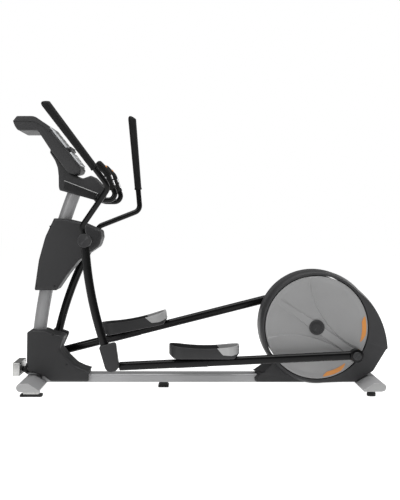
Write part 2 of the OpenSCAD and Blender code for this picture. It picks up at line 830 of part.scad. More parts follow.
module wheel(p, profile) {
    translate([p.x, 0, p.y]) rotate([-90, 0, 0]) rotate_extrude($fn = 180) polygon(profile);
}
module drive_pulley() {
    rim = belt_w / 2 + 2;
    color("gray") wheel(hub, [
        [crank_shaft_r, -22], [36, -22], [36, -4], [pulley_r - 14, -4], [pulley_r - 14, -rim],
        [pulley_r, -rim], [pulley_r, rim], [pulley_r - 14, rim], [pulley_r - 14, 4], [36, 4],
        [36, 22], [crank_shaft_r, 22]
    ]);
}
flywheel_hub = [flywheel_x, flywheel_z];
module flywheel_pulley() {
    rim = belt_w / 2 + 2;
    color("lightgray") wheel(flywheel_hub, [
        [flywheel_axle_r + run_gap, -rim], [small_pulley_r, -rim], [small_pulley_r, rim],
        [flywheel_axle_r + run_gap, rim]
    ]);
}
module flywheel() {
    y0 = belt_w / 2 + 2;
    color("silver") wheel(flywheel_hub, [
        [flywheel_axle_r + run_gap, y0], [24, y0], [24, y0 + 10], [58, y0 + 10],
        [58, y0 + 4], [flywheel_r, y0 + 4], [flywheel_r, y0 + 38], [58, y0 + 38],
        [58, y0 + 26], [24, y0 + 26], [24, y0 + 36], [flywheel_axle_r + run_gap, y0 + 36]
    ]);
}
module belt_loop(grow) {
    hull() {
        translate(hub) circle(r = pulley_r + belt_gap + grow, $fn = 180);
        translate(flywheel_hub) circle(r = small_pulley_r + belt_gap + grow, $fn = 90);
    }
}
module drive_belt() {
    color("black") slab(-belt_w / 2, belt_w / 2) difference() {
        belt_loop(belt_t);
        belt_loop(0);
    }
}

// Side plates that stand on the rail and carry the crank bearings and flywheel axle
plate_y0 = 62;
plate_y1 = 70;
module drum_frame() {
    color("dimgray") {
        difference() {
            both_sides() slab(plate_y0, plate_y1) difference() {
                polygon(rounded([
                    [480, 50, 10], [860, 52, 20], [965, 190, 30], [930, 240, 40],
                    [720, 400, 50], [663, 420, 60], [606, 400, 50]
                ]));
                translate([700, 190]) circle(r = 70);
            }
            across(hub, -100, 100, bearing_r);
        }
        across(flywheel_hub, -plate_y1, plate_y1, flywheel_axle_r);
        // Feet that tie the plates to the rail
        both_sides() for (x = [520, 800])
            translate([x, rail_w / 2, 52]) cube([60, plate_y0 - rail_w / 2, 20]);
    }
}
module crank_bearings() {
    color("lightgray") both_sides() difference() {
        across(hub, plate_y0 - 4, plate_y1 + 4, bearing_r);
        across(hub, plate_y0 - 9, plate_y1 + 9, crank_shaft_r + run_gap);
    }
}

// Drum cover: round about the crank shaft, drawn out to the rear
rear_arc_c = [614, 215];
rear_arc_r = 456;
function drum_outline() = concat(
    arc(hub, drum_r, 52, 268, 54),
    [[878, 43], [988, 101], [1048, 181]],
    arc(rear_arc_c, rear_arc_r, 2, 48, 16)
);
drum_shoulder_y = 92;
shoulder_inset = 13;
module drum_solid(inset) {
    hull() {
        slab(0, drum_shoulder_y - inset) offset(delta = -inset) polygon(drum_outline());
        slab(drum_cover_y - inset - 2, drum_cover_y - inset)
            offset(delta = -inset - shoulder_inset) polygon(drum_outline());
    }
}
function skirt_outline() = rounded([
    [321, 40, 4], [318, 66, 6], [332, 90, 6], [307, 101, 4], [357, 143, 30], [430, 190, 30],
    [560, 120, 4], [640, 40, 4]
]);
module drum_cover_half(side) {
    color("dimgray") on_side(side) difference() {
        union() {
            drum_solid(0);
            slab(0, drum_shoulder_y) polygon(skirt_outline());
        }
        translate([0, -1, 0]) drum_solid(skin);
        slab(-1, drum_shoulder_y - skin) offset(delta = -skin) polygon(skirt_outline());
        across(hub, 0, drum_cover_y + 1, disc_r + 5, $fn = 180);
        // Ways out for the rail and the rear stabilizer
        translate([290, -rail_w / 2 - 1, rail_z0 - 20])
            cube([120, rail_w + 2, rail_z1 - rail_z0 + 22]);
        slab(-1, drum_cover_y + 1) offset(delta = 2) rear_section();
        translate([300, -rail_w / 2 - 1, 20]) cube([630, rail_w + 2, 60]);
    }
}
module drum_shroud_left() { drum_cover_half(left); }
module drum_shroud_right() { drum_cover_half(right); }

base_rail();
front_stabilizer();
rear_stabilizer();
stabilizer_end_caps();
front_feet();
rear_feet();
centre_foot();
mast();
pivot_frame();
arm_pivot_axle();
front_shroud_left();
front_shroud_right();
mid_shroud_left();
mid_shroud_right();
connector_box();
drum_frame();
crank_bearings();
drum_shroud_left();
drum_shroud_right();
drive_belt();
console_back();
console_bezel();
upper_display();
lower_keypad();
boom_left();
boom_right();
fixed_handlebars();
fixed_grips();
left_thumb_button();
right_thumb_button();
left_arm_tube();
left_pivot_cap();
left_handle_tube();
left_handle_grip();
left_joint_casing();
right_arm_tube();
right_pivot_cap();
right_handle_tube();
right_handle_grip();
right_joint_casing();
left_foot_bar();
left_joint_pin();
left_pedal_shell();
left_heel_trim();
left_pedal_mat();
left_crank_cap();
right_foot_bar();
right_joint_pin();
right_pedal_shell();
right_heel_trim();
right_pedal_mat();
right_crank_cap();
crank_axle();
crank_arms();
crank_discs();
hub_caps();
accent_arcs();
drive_pulley();
flywheel();
flywheel_pulley();
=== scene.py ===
"""Looks of the rear-drive elliptical trainer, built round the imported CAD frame. Metres, +Z up.

+X runs to the drive drum, -X to the console, and -Y is the user's left, nearest the camera.
"""
import json
import math

import bmesh
import bpy
from mathutils import Matrix, Vector, geometry


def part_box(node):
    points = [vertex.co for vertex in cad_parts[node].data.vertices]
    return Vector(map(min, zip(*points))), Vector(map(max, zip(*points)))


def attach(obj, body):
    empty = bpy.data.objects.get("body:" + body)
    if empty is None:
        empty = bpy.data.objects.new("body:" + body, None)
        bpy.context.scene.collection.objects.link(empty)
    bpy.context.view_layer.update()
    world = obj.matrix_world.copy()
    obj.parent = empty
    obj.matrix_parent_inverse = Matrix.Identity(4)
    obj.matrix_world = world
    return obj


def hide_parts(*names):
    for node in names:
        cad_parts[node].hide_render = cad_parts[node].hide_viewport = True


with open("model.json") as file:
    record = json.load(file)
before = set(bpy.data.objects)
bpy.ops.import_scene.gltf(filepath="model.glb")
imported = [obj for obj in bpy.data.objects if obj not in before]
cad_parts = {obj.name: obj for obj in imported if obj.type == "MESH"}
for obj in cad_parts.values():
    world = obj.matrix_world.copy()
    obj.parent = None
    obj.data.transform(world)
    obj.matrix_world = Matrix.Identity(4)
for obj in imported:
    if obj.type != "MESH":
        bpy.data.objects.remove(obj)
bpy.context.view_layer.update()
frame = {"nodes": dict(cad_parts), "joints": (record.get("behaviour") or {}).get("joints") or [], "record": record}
MM = 0.001
LEFT, RIGHT = -1, 1
SIDES = ((LEFT, "left"), (RIGHT, "right"))

# ---- places, from the frame ----------------------------------------------------------

JOINTS = {joint["name"]: joint for joint in frame["joints"]}


def joint_at(name):
    return Vector(JOINTS[name]["pos_m"])


def middle(node):
    low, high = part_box(node)
    return (low + high) / 2


PIVOT = joint_at("left_arm_swing")
HUB = joint_at("crank_spin")
LOWER_JOINT = {side: joint_at(name + "_bar_pivot") for side, name in SIDES}
CRANK_PIN = {side: middle(name + "_crank_cap") for side, name in SIDES}
ARM_LEN = (LOWER_JOINT[LEFT] - PIVOT).length
ARM_Y = 0.250
BAR_LEN = Vector((CRANK_PIN[LEFT].x - LOWER_JOINT[LEFT].x, 0,
                  CRANK_PIN[LEFT].z - LOWER_JOINT[LEFT].z)).length


def turned(origin, angle, side):
    """Frame at origin in the middle plane, turned about +Y, then mirrored to a side."""
    flip = Matrix.Diagonal((1, side, 1, 1))
    return flip @ Matrix.Translation((origin.x, 0, origin.z)) @ Matrix.Rotation(angle, 4, "Y")


# Local X runs across the machine, Y up and Z rearward
REARWARD = Matrix(((0, 0, 1, 0), (1, 0, 0, 0), (0, 1, 0, 0), (0, 0, 0, 1)))


def arm_frame(side):
    """An arm hangs straight down from the origin, and its outward side is +Y."""
    down = LOWER_JOINT[side] - PIVOT
    return turned(PIVOT, -math.atan2(down.x, -down.z), side)


def bar_frame(side):
    """A foot bar runs along +X from its front joint at the origin."""
    along = CRANK_PIN[side] - LOWER_JOINT[side]
    return turned(LOWER_JOINT[side], -math.atan2(along.z, along.x), side)


def side_view(side):
    """Local X and Y are the side view's X and Z, and local Z runs outward to a side."""
    return Matrix(((1, 0, 0, 0), (0, 0, side, 0), (0, 1, 0, 0), (0, 0, 0, 1)))


# ---- materials -----------------------------------------------------------------------


class Look:
    """A Principled material with colour, roughness and bump that vary over the surface."""

    def __init__(self, name, colour, rough, metal=0.0):
        self.material = bpy.data.materials.new(name)
        self.material.use_nodes = True
        self.tree = self.material.node_tree
        self.shader = self.tree.nodes["Principled BSDF"]
        self.place = self.tree.nodes.new("ShaderNodeTexCoord").outputs["Object"]
        self.colour = colour
        self.rough = rough
        self.normal = None
        self.shader.inputs["Base Color"].default_value = (*colour, 1)
        self.shader.inputs["Roughness"].default_value = rough
        self.shader.inputs["Metallic"].default_value = metal

    def set(self, socket, value):
        self.shader.inputs[socket].default_value = value
        return self

    def noise(self, scale, detail=3.0, stretch=(1, 1, 1)):
        mapping = self.tree.nodes.new("ShaderNodeMapping")
        mapping.inputs["Scale"].default_value = stretch
        self.tree.links.new(self.place, mapping.inputs["Vector"])
        node = self.tree.nodes.new("ShaderNodeTexNoise")
        node.inputs["Scale"].default_value = scale
        node.inputs["Detail"].default_value = detail
        self.tree.links.new(mapping.outputs["Vector"], node.inputs["Vector"])
        return node.outputs["Fac"]

    def ramp(self, fac, stops):
        node = self.tree.nodes.new("ShaderNodeValToRGB")
        elements = node.color_ramp.elements
        while len(elements) < len(stops):
            elements.new(0.5)
        for element, (position, colour) in zip(elements, stops):
            element.position = position
            element.color = (*colour, 1)
        self.tree.links.new(fac, node.inputs["Fac"])
        return node.outputs["Color"]

    def mottle(self, scale, amount, detail=4.0, stretch=(1, 1, 1)):
        """Slow drift of the colour, as moulding flow and handling leave."""
        dark = [c * (1 - amount) for c in self.colour]
        light = [c * (1 + amount) for c in self.colour]
        out = self.ramp(self.noise(scale, detail, stretch), ((0.3, dark), (0.7, light)))
        self.colour_out = out
        self.tree.links.new(out, self.shader.inputs["Base Color"])
        return self

    def wear_and_highlight_edges(self, lighter, start=0.53, end=0.62):
        """Lightens sharp convex edges: partly real wear where paint and grain rub off, partly a painted highlight
        along the rims.
        """
        surface = self.tree.nodes.new("ShaderNodeNewGeometry")
        fac = self.ramp(surface.outputs["Pointiness"], ((start, (0,) * 3), (end, (1,) * 3)))
        mix = self.tree.nodes.new("ShaderNodeMix")
        mix.data_type = "RGBA"
        self.tree.links.new(fac, mix.inputs["Factor"])
        self.tree.links.new(self.colour_out, mix.inputs["A"])
        mix.inputs["B"].default_value = (*[c * lighter for c in self.colour], 1)
        self.tree.links.new(mix.outputs["Result"], self.shader.inputs["Base Color"])
        return self

    def smears(self, scale, spread, stretch=(1, 1, 1)):
        """Roughness that drifts by spread either way."""
        node = self.tree.nodes.new("ShaderNodeMapRange")
        node.inputs["From Min"].default_value = 0.3
        node.inputs["From Max"].default_value = 0.7
        node.inputs["To Min"].default_value = max(0.02, self.rough - spread)
        node.inputs["To Max"].default_value = min(1.0, self.rough + spread)
        self.tree.links.new(self.noise(scale, 5.0, stretch), node.inputs["Value"])
        self.tree.links.new(node.outputs["Result"], self.shader.inputs["Roughness"])
        return self

    def bump(self, height, strength, distance):
        node = self.tree.nodes.new("ShaderNodeBump")
        node.inputs["Strength"].default_value = strength
        node.inputs["Distance"].default_value = distance
        self.tree.links.new(height, node.inputs["Height"])
        if self.normal:
            self.tree.links.new(self.normal, node.inputs["Normal"])
        self.normal = node.outputs["Normal"]
        self.tree.links.new(self.normal, self.shader.inputs["Normal"])
        return self

    def grain(self, scale, strength, distance=0.0004, stretch=(1, 1, 1)):
        return self.bump(self.noise(scale, 6.0, stretch), strength, distance)

    def cells(self, scale, strength, distance=0.0005):
        """Pebbled mould texture, or the open cells of foam rubber."""
        node = self.tree.nodes.new("ShaderNodeTexVoronoi")
        node.inputs["Scale"].default_value = scale
        self.tree.links.new(self.place, node.inputs["Vector"])
        return self.bump(node.outputs["Distance"], strength, distance)


def moulded(name, colour, rough=0.5, lighter=1.5, shine=0.5):
    # The edge lightening is partly wear and partly a painted highlight on the rims.
    return (Look(name, colour, rough).mottle(5, 0.06).wear_and_highlight_edges(lighter).smears(14, 0.06)
            .cells(900, 0.25, 0.0002).grain(60, 0.05, 0.0006).set("Specular IOR Level", shine)
            .material)


def coated(name, colour, rough, metal, lighter=1.4, shine=0.5):
    """Powder coat: fine orange peel over metal flake."""
    # The edge lightening is partly wear and partly a painted highlight on the rims.
    look = Look(name, colour, rough, metal).mottle(900, 0.05, 2.0).wear_and_highlight_edges(lighter)
    look.set("Specular IOR Level", shine)
    return look.smears(9, 0.05).grain(320, 0.12, 0.0003).material


def machined(name, colour, rough, stretch=(1, 60, 1)):
    return (Look(name, colour, rough, 1.0).mottle(30, 0.08, 3.0, stretch)
            .smears(40, 0.08, stretch).grain(90, 0.2, 0.0002, stretch).material)


CHARCOAL = (0.0195, 0.0195, 0.0205)
SILVER = (0.25, 0.25, 0.254)
LOOKS = {
    "charcoal_plastic": moulded("charcoal_plastic", CHARCOAL, 0.5, 2.2, 0.34),
    "dark_plastic": moulded("dark_plastic", (0.006, 0.006, 0.0065), 0.42, 1.5, 0.3),
    "disc_grey": moulded("disc_grey", (0.245, 0.245, 0.246), 0.42, 1.15),
    "heel_grey": moulded("heel_grey", (0.34, 0.34, 0.34), 0.45, 1.2),
    "end_cap_plastic": moulded("end_cap_plastic", (0.33, 0.33, 0.33), 0.4, 1.5),
    "orange_plastic": moulded("orange_plastic", (0.52, 0.2, 0.035), 0.38, 1.2),
    "silver_paint": coated("silver_paint", SILVER, 0.42, 0.25),
    "black_steel": coated("black_steel", (0.0022, 0.0022, 0.0024), 0.24, 0.0, 2.0, 0.2),
    "bare_steel": machined("bare_steel", (0.55, 0.55, 0.56), 0.3),
    "zinc_plate": machined("zinc_plate", (0.5, 0.5, 0.49), 0.4, (4, 4, 4)),
    "aluminium": machined("aluminium", (0.6, 0.6, 0.62), 0.35),
    "cast_flywheel": machined("cast_flywheel", (0.16, 0.16, 0.17), 0.45),
    "rubber": (Look("rubber", (0.006, 0.006, 0.006), 0.75).mottle(8, 0.15).smears(20, 0.08)
               .cells(500, 0.4, 0.0003).material),
    "grip_rubber": (Look("grip_rubber", (0.0032, 0.0032, 0.0034), 0.66).mottle(12, 0.2)
                    .smears(25, 0.08).cells(420, 0.5, 0.0005).grain(150, 0.2, 0.0004)
                    .set("Specular IOR Level", 0.2).material),
    "belt_rubber": (Look("belt_rubber", (0.015, 0.015, 0.015), 0.6).mottle(20, 0.2)
                    .smears(20, 0.1).grain(200, 0.3).material),
    "screen_lens": (Look("screen_lens", (0.42, 0.43, 0.44), 0.2).mottle(3, 0.03)
                    .smears(6, 0.04).set("Coat Weight", 0.6).set("Coat Roughness", 0.06)
                    .material),
    "display_glass": (Look("display_glass", (0.20, 0.21, 0.205), 0.12).mottle(4, 0.1)
                      .smears(8, 0.03).set("Coat Weight", 1.0).set("Coat Roughness", 0.03)
                      .material),
}
for part in frame["record"]["subparts"]:
    cad_node = frame["nodes"][part["node"]]
    cad_node.data.materials.clear()
    cad_node.data.materials.append(LOOKS[part["material_slot"]])

# ---- outlines and meshes ---------------------------------------------------------------


def rounded(corners, inset=0.0, steps=6):
    """Closed outline from corners (x, y, radius) in order, drawn in from its edge by inset.

    Every inset of one outline has the same number of points, so insets can be lofted.
    """
    count = len(corners)
    points = [Vector(c[:2]) for c in corners]
    area = sum(points[i - 1].cross(points[i]) for i in range(count))
    inward = 1 if area > 0 else -1
    ring = []
    for i, (_, _, radius) in enumerate(corners):
        into = (points[i] - points[i - 1]).normalized()
        away = (points[(i + 1) % count] - points[i]).normalized()
        turn = into.cross(away) * inward
        n0 = Vector((-into.y, into.x)) * inward
        n1 = Vector((-away.y, away.x)) * inward
        point = points[i] + (n0 + n1) * inset / (1 + n0.dot(n1))
        r = radius - inset if turn > 0 else radius + inset
        r = max(r, 0.0005)
        half = (math.pi - math.acos(max(-1, min(1, into.dot(away))))) / 2
        a, b = -into, away
        centre = point + (a + b).normalized() * r / math.sin(half)
        start = point + a * r / math.tan(half) - centre
        arc = math.pi - 2 * half
        sense = 1 if into.cross(away) > 0 else -1
        for k in range(steps + 1):
            angle = sense * arc * k / steps
            c, s = math.cos(angle), math.sin(angle)
            ring.append(centre + Vector((start.x * c - start.y * s, start.x * s + start.y * c)))
    return ring


def loft(bm, rings, wrap=False):
    """Skins rings of equal length, capped; wrap joins the last ring back to the first."""
    rows = [[bm.verts.new(p) for p in ring] for ring in rings]
    count = len(rows[0])
    pairs = list(zip(rows, rows[1:])) + ([(rows[-1], rows[0])] if wrap else [])
    for low, high in pairs:
        for i in range(count):
            j = (i + 1) % count
            bm.faces.new((low[i], low[j], high[j], high[i]))
    if not wrap:
        bm.faces.new(list(reversed(rows[0])))
        bm.faces.new(rows[-1])


def join(bm, part, place):
    """Adds a finished part to bm, with its normals facing out."""
    bmesh.ops.recalc_face_normals(part, faces=part.faces)
    part.transform(place)
    if place.determinant() < 0:
        bmesh.ops.reverse_faces(part, faces=part.faces)
    mesh = bpy.data.meshes.new("part")
    part.to_mesh(mesh)
    part.free()
    bm.from_mesh(mesh)
    bpy.data.meshes.remove(mesh)


def skin(bm, rings, place, wrap=False):
    """Adds the closed solid that rings span to bm, put in place."""
    part = bmesh.new()
    loft(part, rings, wrap)
    join(bm, part, place)


def round_over(z0, z1, r0, r1, steps=5):
    """Heights and insets of a plate from z0 to z1 whose two rims are rounded."""
    profile = [(z0 + r0 * (1 - math.cos(math.pi / 2 * k / steps)),
                r0 * (1 - math.sin(math.pi / 2 * k / steps))) for k in range(steps + 1)]
    profile += [(z1 - r1 * (1 - math.sin(math.pi / 2 * k / steps)),
                 r1 * (1 - math.cos(math.pi / 2 * k / steps))) for k in range(steps + 1)]
    return profile


def plate(bm, corners, z0, z1, r0, r1, place, steps=6):
    """Solid plate of an outline, from local z0 to z1, with rounded rims, put in place."""
    skin(bm, [[Vector((p.x, p.y, z)) for p in rounded(corners, inset, steps)]
              for z, inset in round_over(z0, z1, r0, r1)], place)


def lathe(bm, profile, place, sides=64):
    """Solid of revolution about local Z from (radius, z) pairs; a radius of 0 closes an end."""
    skin(bm, [[Vector((max(r, 1e-5) * math.cos(2 * math.pi * k / sides),
                       max(r, 1e-5) * math.sin(2 * math.pi * k / sides), z))
               for k in range(sides)] for r, z in profile], place)


def bent_path(points, bend, steps=10):
    """Path of straight runs joined by bends of one radius."""
    points = [Vector(p) for p in points]
    path = [points[0]]
    for p0, p1, p2 in zip(points, points[1:], points[2:]):
        a, b = (p0 - p1).normalized(), (p2 - p1).normalized()
        half = a.angle(b) / 2
        centre = p1 + (a + b).normalized() * bend / math.sin(half)
        start = p1 + a * bend / math.tan(half) - centre
        for k in range(steps + 1):
            turn = (math.pi - 2 * half) * k / steps
            path.append(centre + start * math.cos(turn) - a * bend * math.sin(turn))
    path.append(points[-1])
    return path


def sweep(bm, path, radius, place, sides=32):
    """Round tube along a path."""
    tangents = []
    for i in range(len(path)):
        ahead, behind = path[min(i + 1, len(path) - 1)], path[max(i - 1, 0)]
        tangents.append((ahead - behind).normalized())
    up = tangents[0].orthogonal().normalized()
    rings = []
    for point, along in zip(path, tangents):
        up = (up - along * up.dot(along)).normalized()
        across = along.cross(up)
        rings.append([point + radius * (up * math.cos(2 * math.pi * k / sides)
                                        + across * math.sin(2 * math.pi * k / sides))
                      for k in range(sides)])
    skin(bm, rings, place)


def along_y(centre, side=RIGHT):
    """Lathe frame: local Z points outward along Y from a side-view centre."""
    return Matrix.Translation((centre.x, 0, centre.z)) @ side_view(side)


def aimed(origin, direction):
    """Frame at origin whose local Z is direction, and local X lies in the XZ plane."""
    z = Vector(direction).normalized()
    x = Vector((0, 1, 0)).cross(z).normalized()
    y = z.cross(x)
    matrix = Matrix((x, y, z)).transposed().to_4x4()
    matrix.translation = Vector(origin)
    return matrix


SHARP = math.radians(38)


def piece(name, bm, look, body, replaces=(), sharp=SHARP):
    """Turns a finished bmesh into a named piece that rides on a CAD body."""
    bmesh.ops.remove_doubles(bm, verts=bm.verts, dist=2e-6)
    for face in bm.faces:
        face.smooth = True
    for edge in bm.edges:
        edge.smooth = len(edge.link_faces) == 2 and edge.calc_face_angle(0) < sharp
    mesh = bpy.data.meshes.new(name)
    bm.to_mesh(mesh)
    bm.free()
    mesh.materials.append(LOOKS[look])
    obj = bpy.data.objects.new(name, mesh)
    bpy.context.scene.collection.objects.link(obj)
    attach(obj, body)
    if replaces:
        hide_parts(*replaces)


def mm(corners):
    """Corners given in millimetres, in metres."""
    return [(x * MM, y * MM, r * MM) for x, y, r in corners]


def box_corners(x0, x1, y0, y1, r):
    """Corners of a rectangle, all of one radius."""
    return [(x0, y0, r), (x1, y0, r), (x1, y1, r), (x0, y1, r)]


# ---- fasteners -------------------------------------------------------------------------


def screw_head(bm, place, r=0.0055):
    """Button head with a hexagon socket."""
    lathe(bm, [(r, 0), (r, r * 0.25), (r * 0.8, r * 0.55), (r * 0.55, r * 0.66),
               (r * 0.5, r * 0.66), (r * 0.48, r * 0.2), (0, r * 0.18)], place, 24)


def side_screws(name, points, y, r=0.0055):
    """Screw heads on both faces of a cover, at side-view points in millimetres."""
    bm = bmesh.new()
    for side, _ in SIDES:
        for x, z in points:
            place = Matrix.Translation((x * MM, side * y, z * MM)) @ side_view(side)
            screw_head(bm, place, r)
    piece(name, bm, "dark_plastic", "frame")


# ---- base frame ------------------------------------------------------------------------

def stabilizer_ring(shift_x=None, lift=0.0):
    """Section points of a stabilizer: a nose, a crown and a tail, flat below."""
    cloud = []
    for x, z, r in mm([(-976, 50, 22), (-945, 43, 32), (-880, 33, 6)]):
        for k in range(96):
            a = 2 * math.pi * k / 96
            cloud.append(Vector((x + r * math.cos(a), max(z + r * math.sin(a), 0.027))))
    ring = [cloud[i] for i in geometry.convex_hull_2d(cloud)]
    if shift_x is not None:
        ring = [Vector((shift_x - p.x, p.y + lift)) for p in ring]
    return ring


def shrunk(ring, amount):
    """Ring drawn in towards its middle, each point moved by about amount."""
    centre = sum(ring, Vector((0, 0))) / len(ring)
    half = max((p - centre).length for p in ring)
    return [centre + (p - centre) * (1 - amount / half) for p in ring]


def stabilizer_caps():
    bm = bmesh.new()
    end_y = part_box("stabilizer_end_caps")[1].y
    for side, _ in SIDES:
        for ring in (stabilizer_ring(), stabilizer_ring(0.012, 0.003)):
            rows = [(0.010, 0.0006), (0.0094, 0.0), (0.003, 0.0), (0.0012, 0.0012),
                    (0.0003, 0.0026), (0.0, 0.0045)]
            skin(bm, [[Vector((p.x, p.y, end_y - depth)) for p in shrunk(ring, inset)]
                      for depth, inset in rows], side_view(side))
    piece("stabilizer_caps", bm, "end_cap_plastic", "frame", replaces=("stabilizer_end_caps",))


def front_pads():
    bm, plates = bmesh.new(), bmesh.new()
    low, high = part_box("front_feet")
    for side, _ in SIDES:
        y = side * 0.300
        foot = mm([(-60, -32, 6), (60, -32, 14), (60, 32, 14), (-60, 32, 6)])
        place = Matrix.Translation(((low.x + high.x) / 2, y, 0))
        plate(bm, foot, 0, 0.012, 0.001, 0.002, place)
        bracket = box_corners(-0.045, 0.045, -0.024, 0.024, 0.008)
        plate(plates, bracket, 0.012, 0.0275, 0.0005, 0.002, place)
        for x in (-0.03, 0.03):
            screw_head(plates, place @ Matrix.Translation((x, 0, 0.0265)), 0.006)
    piece("front_foot_pads", bm, "rubber", "frame", replaces=("front_feet",))
    piece("front_foot_plates", plates, "zinc_plate", "frame")


def levelling_feet():
    bm, studs = bmesh.new(), bmesh.new()
    low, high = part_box("rear_feet")
    x = (low.x + high.x) / 2
    for side, _ in SIDES:
        place = Matrix.Translation((x, side * 0.290, 0))
        lathe(bm, [(0.0225, 0), (0.024, 0.0015), (0.024, 0.015), (0.0215, 0.021), (0.012, 0.022),
                   (0, 0.022)], place)
        lathe(studs, [(0.006, 0.02), (0.006, high.z), (0, high.z)], place, 24)
        lathe(studs, [(0.0095, 0.0225), (0.0095, 0.0285), (0, 0.0285)], place, 6)
    piece("levelling_foot_pads", bm, "rubber", "frame", replaces=("rear_feet",))
    piece("levelling_foot_studs", studs, "zinc_plate", "frame")


def centre_pad():
    bm, bracket = bmesh.new(), bmesh.new()
    low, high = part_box("centre_foot")
    x = (low.x + high.x) / 2
    place = Matrix.Translation((x, 0, 0))
    plate(bm, box_corners(-0.030, 0.030, -0.045, 0.045, 0.006), 0, 0.013, 0.001, 0.002, place)
    plate(bracket, box_corners(-0.025, 0.025, -0.040, 0.040, 0.004), 0.013, high.z, 0.0005,
          0.0005, place)
    piece("centre_foot_pad", bm, "rubber", "frame", replaces=("centre_foot",))
    piece("centre_foot_bracket", bracket, "dark_plastic", "frame")


def connector():
    bm, bolts = bmesh.new(), bmesh.new()
    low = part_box("connector_box")[0]
    box_front, box_back = low.x + 0.008, low.x + 0.048
    front = box_corners(-0.105, 0.105, 0.075, 0.149, 0.003)
    plate(bm, front, box_front, box_back, 0.002, 0.002, REARWARD, 3)
    lathe(bolts, [(0.0055, 0), (0.0055, 0.003), (0.004, 0.003), (0.004, 0.0085), (0, 0.0085)],
          Matrix.Translation((box_front, 0.034, 0.112)) @ Matrix.Rotation(-math.pi / 2, 4, "Y"),
          24)
    for y in (-0.085, 0.085):
        for z in (0.088, 0.136):
            screw_head(bolts, Matrix.Translation((box_front, y, z))
                       @ Matrix.Rotation(-math.pi / 2, 4, "Y"), 0.0045)
            screw_head(bolts, Matrix.Translation((box_back, y, z))
                       @ Matrix.Rotation(math.pi / 2, 4, "Y"), 0.0045)
    bracket = bmesh.new()
    web = mm([(-1023, 108, 1), (-1023, 101, 1), (-989, 78, 1), (-989, 140, 1), (-994, 140, 1),
              (-1000, 112, 6)])
    for side, _ in SIDES:
        plate(bracket, web, 0.045, 0.050, 0.0008, 0.0008, side_view(side), 2)
    shelf = box_corners(-1.023, -0.989, -0.050, 0.050, 0.001)
    plate(bracket, shelf, 0.104, 0.108, 0.0005, 0.0005, Matrix.Identity(4), 2)
    upright = box_corners(-0.992, -0.988, 0.076, 0.140, 0.001)
    plate(bracket, upright, -0.050, 0.050, 0.0005, 0.0005, side_view(RIGHT), 2)
    piece("connector_housing", bm, "zinc_plate", "frame", replaces=("connector_box",))
    piece("connector_bolts", bolts, "bare_steel", "frame")
    piece("connector_bracket", bracket, "black_steel", "frame")


# ---- covers ----------------------------------------------------------------------------

FRONT_COVER = mm([
    (-962, 334, 16), (-984, 320, 12), (-986, 150, 20), (-978, 104, 10), (-936, 88, 20),
    (-885, 70, 20), (-848, 41, 6), (-635, 41, 4), (-635, 88, 4), (-628, 100, 3),
    (-668, 112, 20), (-710, 132, 60), (-762, 182, 60), (-797, 230, 12), (-776, 294, 10),
    (-800, 305, 20), (-850, 316, 40), (-884, 331, 30)])
MID_COVER = mm([
    (-829, 972, 8), (-760, 968, 60), (-660, 945, 60), (-561, 902, 18), (-556, 862, 30),
    (-572, 812, 40), (-640, 765, 60), (-690, 729, 60), (-757, 646, 100), (-815, 561, 8),
    (-941, 561, 8), (-916, 734, 200), (-880, 864, 200)])
SEAM = 0.0009


def cover_halves(stem, corners, nodes, rim):
    """Two moulded halves that meet at a fine seam in the middle plane."""
    for (side, name), node in zip(SIDES, nodes):
        bm = bmesh.new()
        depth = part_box(node)[1].y if side == RIGHT else -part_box(node)[0].y
        plate(bm, corners, SEAM / 2, depth, SEAM, rim, side_view(side), 8)
        piece(f"{stem}_{name}", bm, "charcoal_plastic", "frame", replaces=(node,))


# ---- drum ------------------------------------------------------------------------------

DRUM_R = 0.322
DISC_GAP_R = 0.295
REAR_ARC_C = Vector((0.614, 0.215))
REAR_ARC_R = 0.456
REAR_ARC_END = 0.03
DRUM_CORNERS = (Vector((1.060, 0.226)), Vector((0.985, 0.103)), Vector((0.878, 0.043)),
                Vector((0.652, 0.032)))
COVER_WALL = 0.004
SKIRT = mm([(303, 40, 3), (300, 60, 4), (327, 88, 4), (307, 93, 2), (374, 138, 20),
            (410, 168, 20), (560, 120, 6), (640, 40, 6)])
SKIRT_HALF = 0.094
SKIRT_BOW_X, SKIRT_BOW_RUN = 0.47, 0.15


def drum_ring(count=240):
    """Outline of the drum cover as points at equal angles about the crank shaft."""
    points = []
    centre = Vector((HUB.x, HUB.z))
    for k in range(count):
        angle = 2 * math.pi * k / count
        ray = Vector((math.cos(angle), math.sin(angle)))
        reach = DRUM_R
        # The rear arc, where it lies outside the round part
        to_arc = centre - REAR_ARC_C
        b = ray.dot(to_arc)
        root = b * b - to_arc.length_squared + REAR_ARC_R ** 2
        arc_reach = -b + math.sqrt(root)
        arc_point = centre + ray * arc_reach
        if arc_point.y > DRUM_CORNERS[0].y and -80 < math.degrees(math.atan2(ray.y, ray.x)) < 62:
            reach = max(reach, arc_reach)
        # The straight edges under it
        arc_end = Vector((math.cos(REAR_ARC_END), math.sin(REAR_ARC_END)))
        edge_points = [REAR_ARC_C + REAR_ARC_R * arc_end, *DRUM_CORNERS]
        for p, q in zip(edge_points, edge_points[1:]):
            edge = q - p
            cross = ray.cross(edge)
            if abs(cross) < 1e-9:
                continue
            distance = (p - centre).cross(edge) / cross
            share = (p - centre).cross(ray) / cross
            if distance > 0 and -0.001 <= share <= 1.001:
                reach = max(reach, distance)
        points.append(centre + ray * reach)
    return points


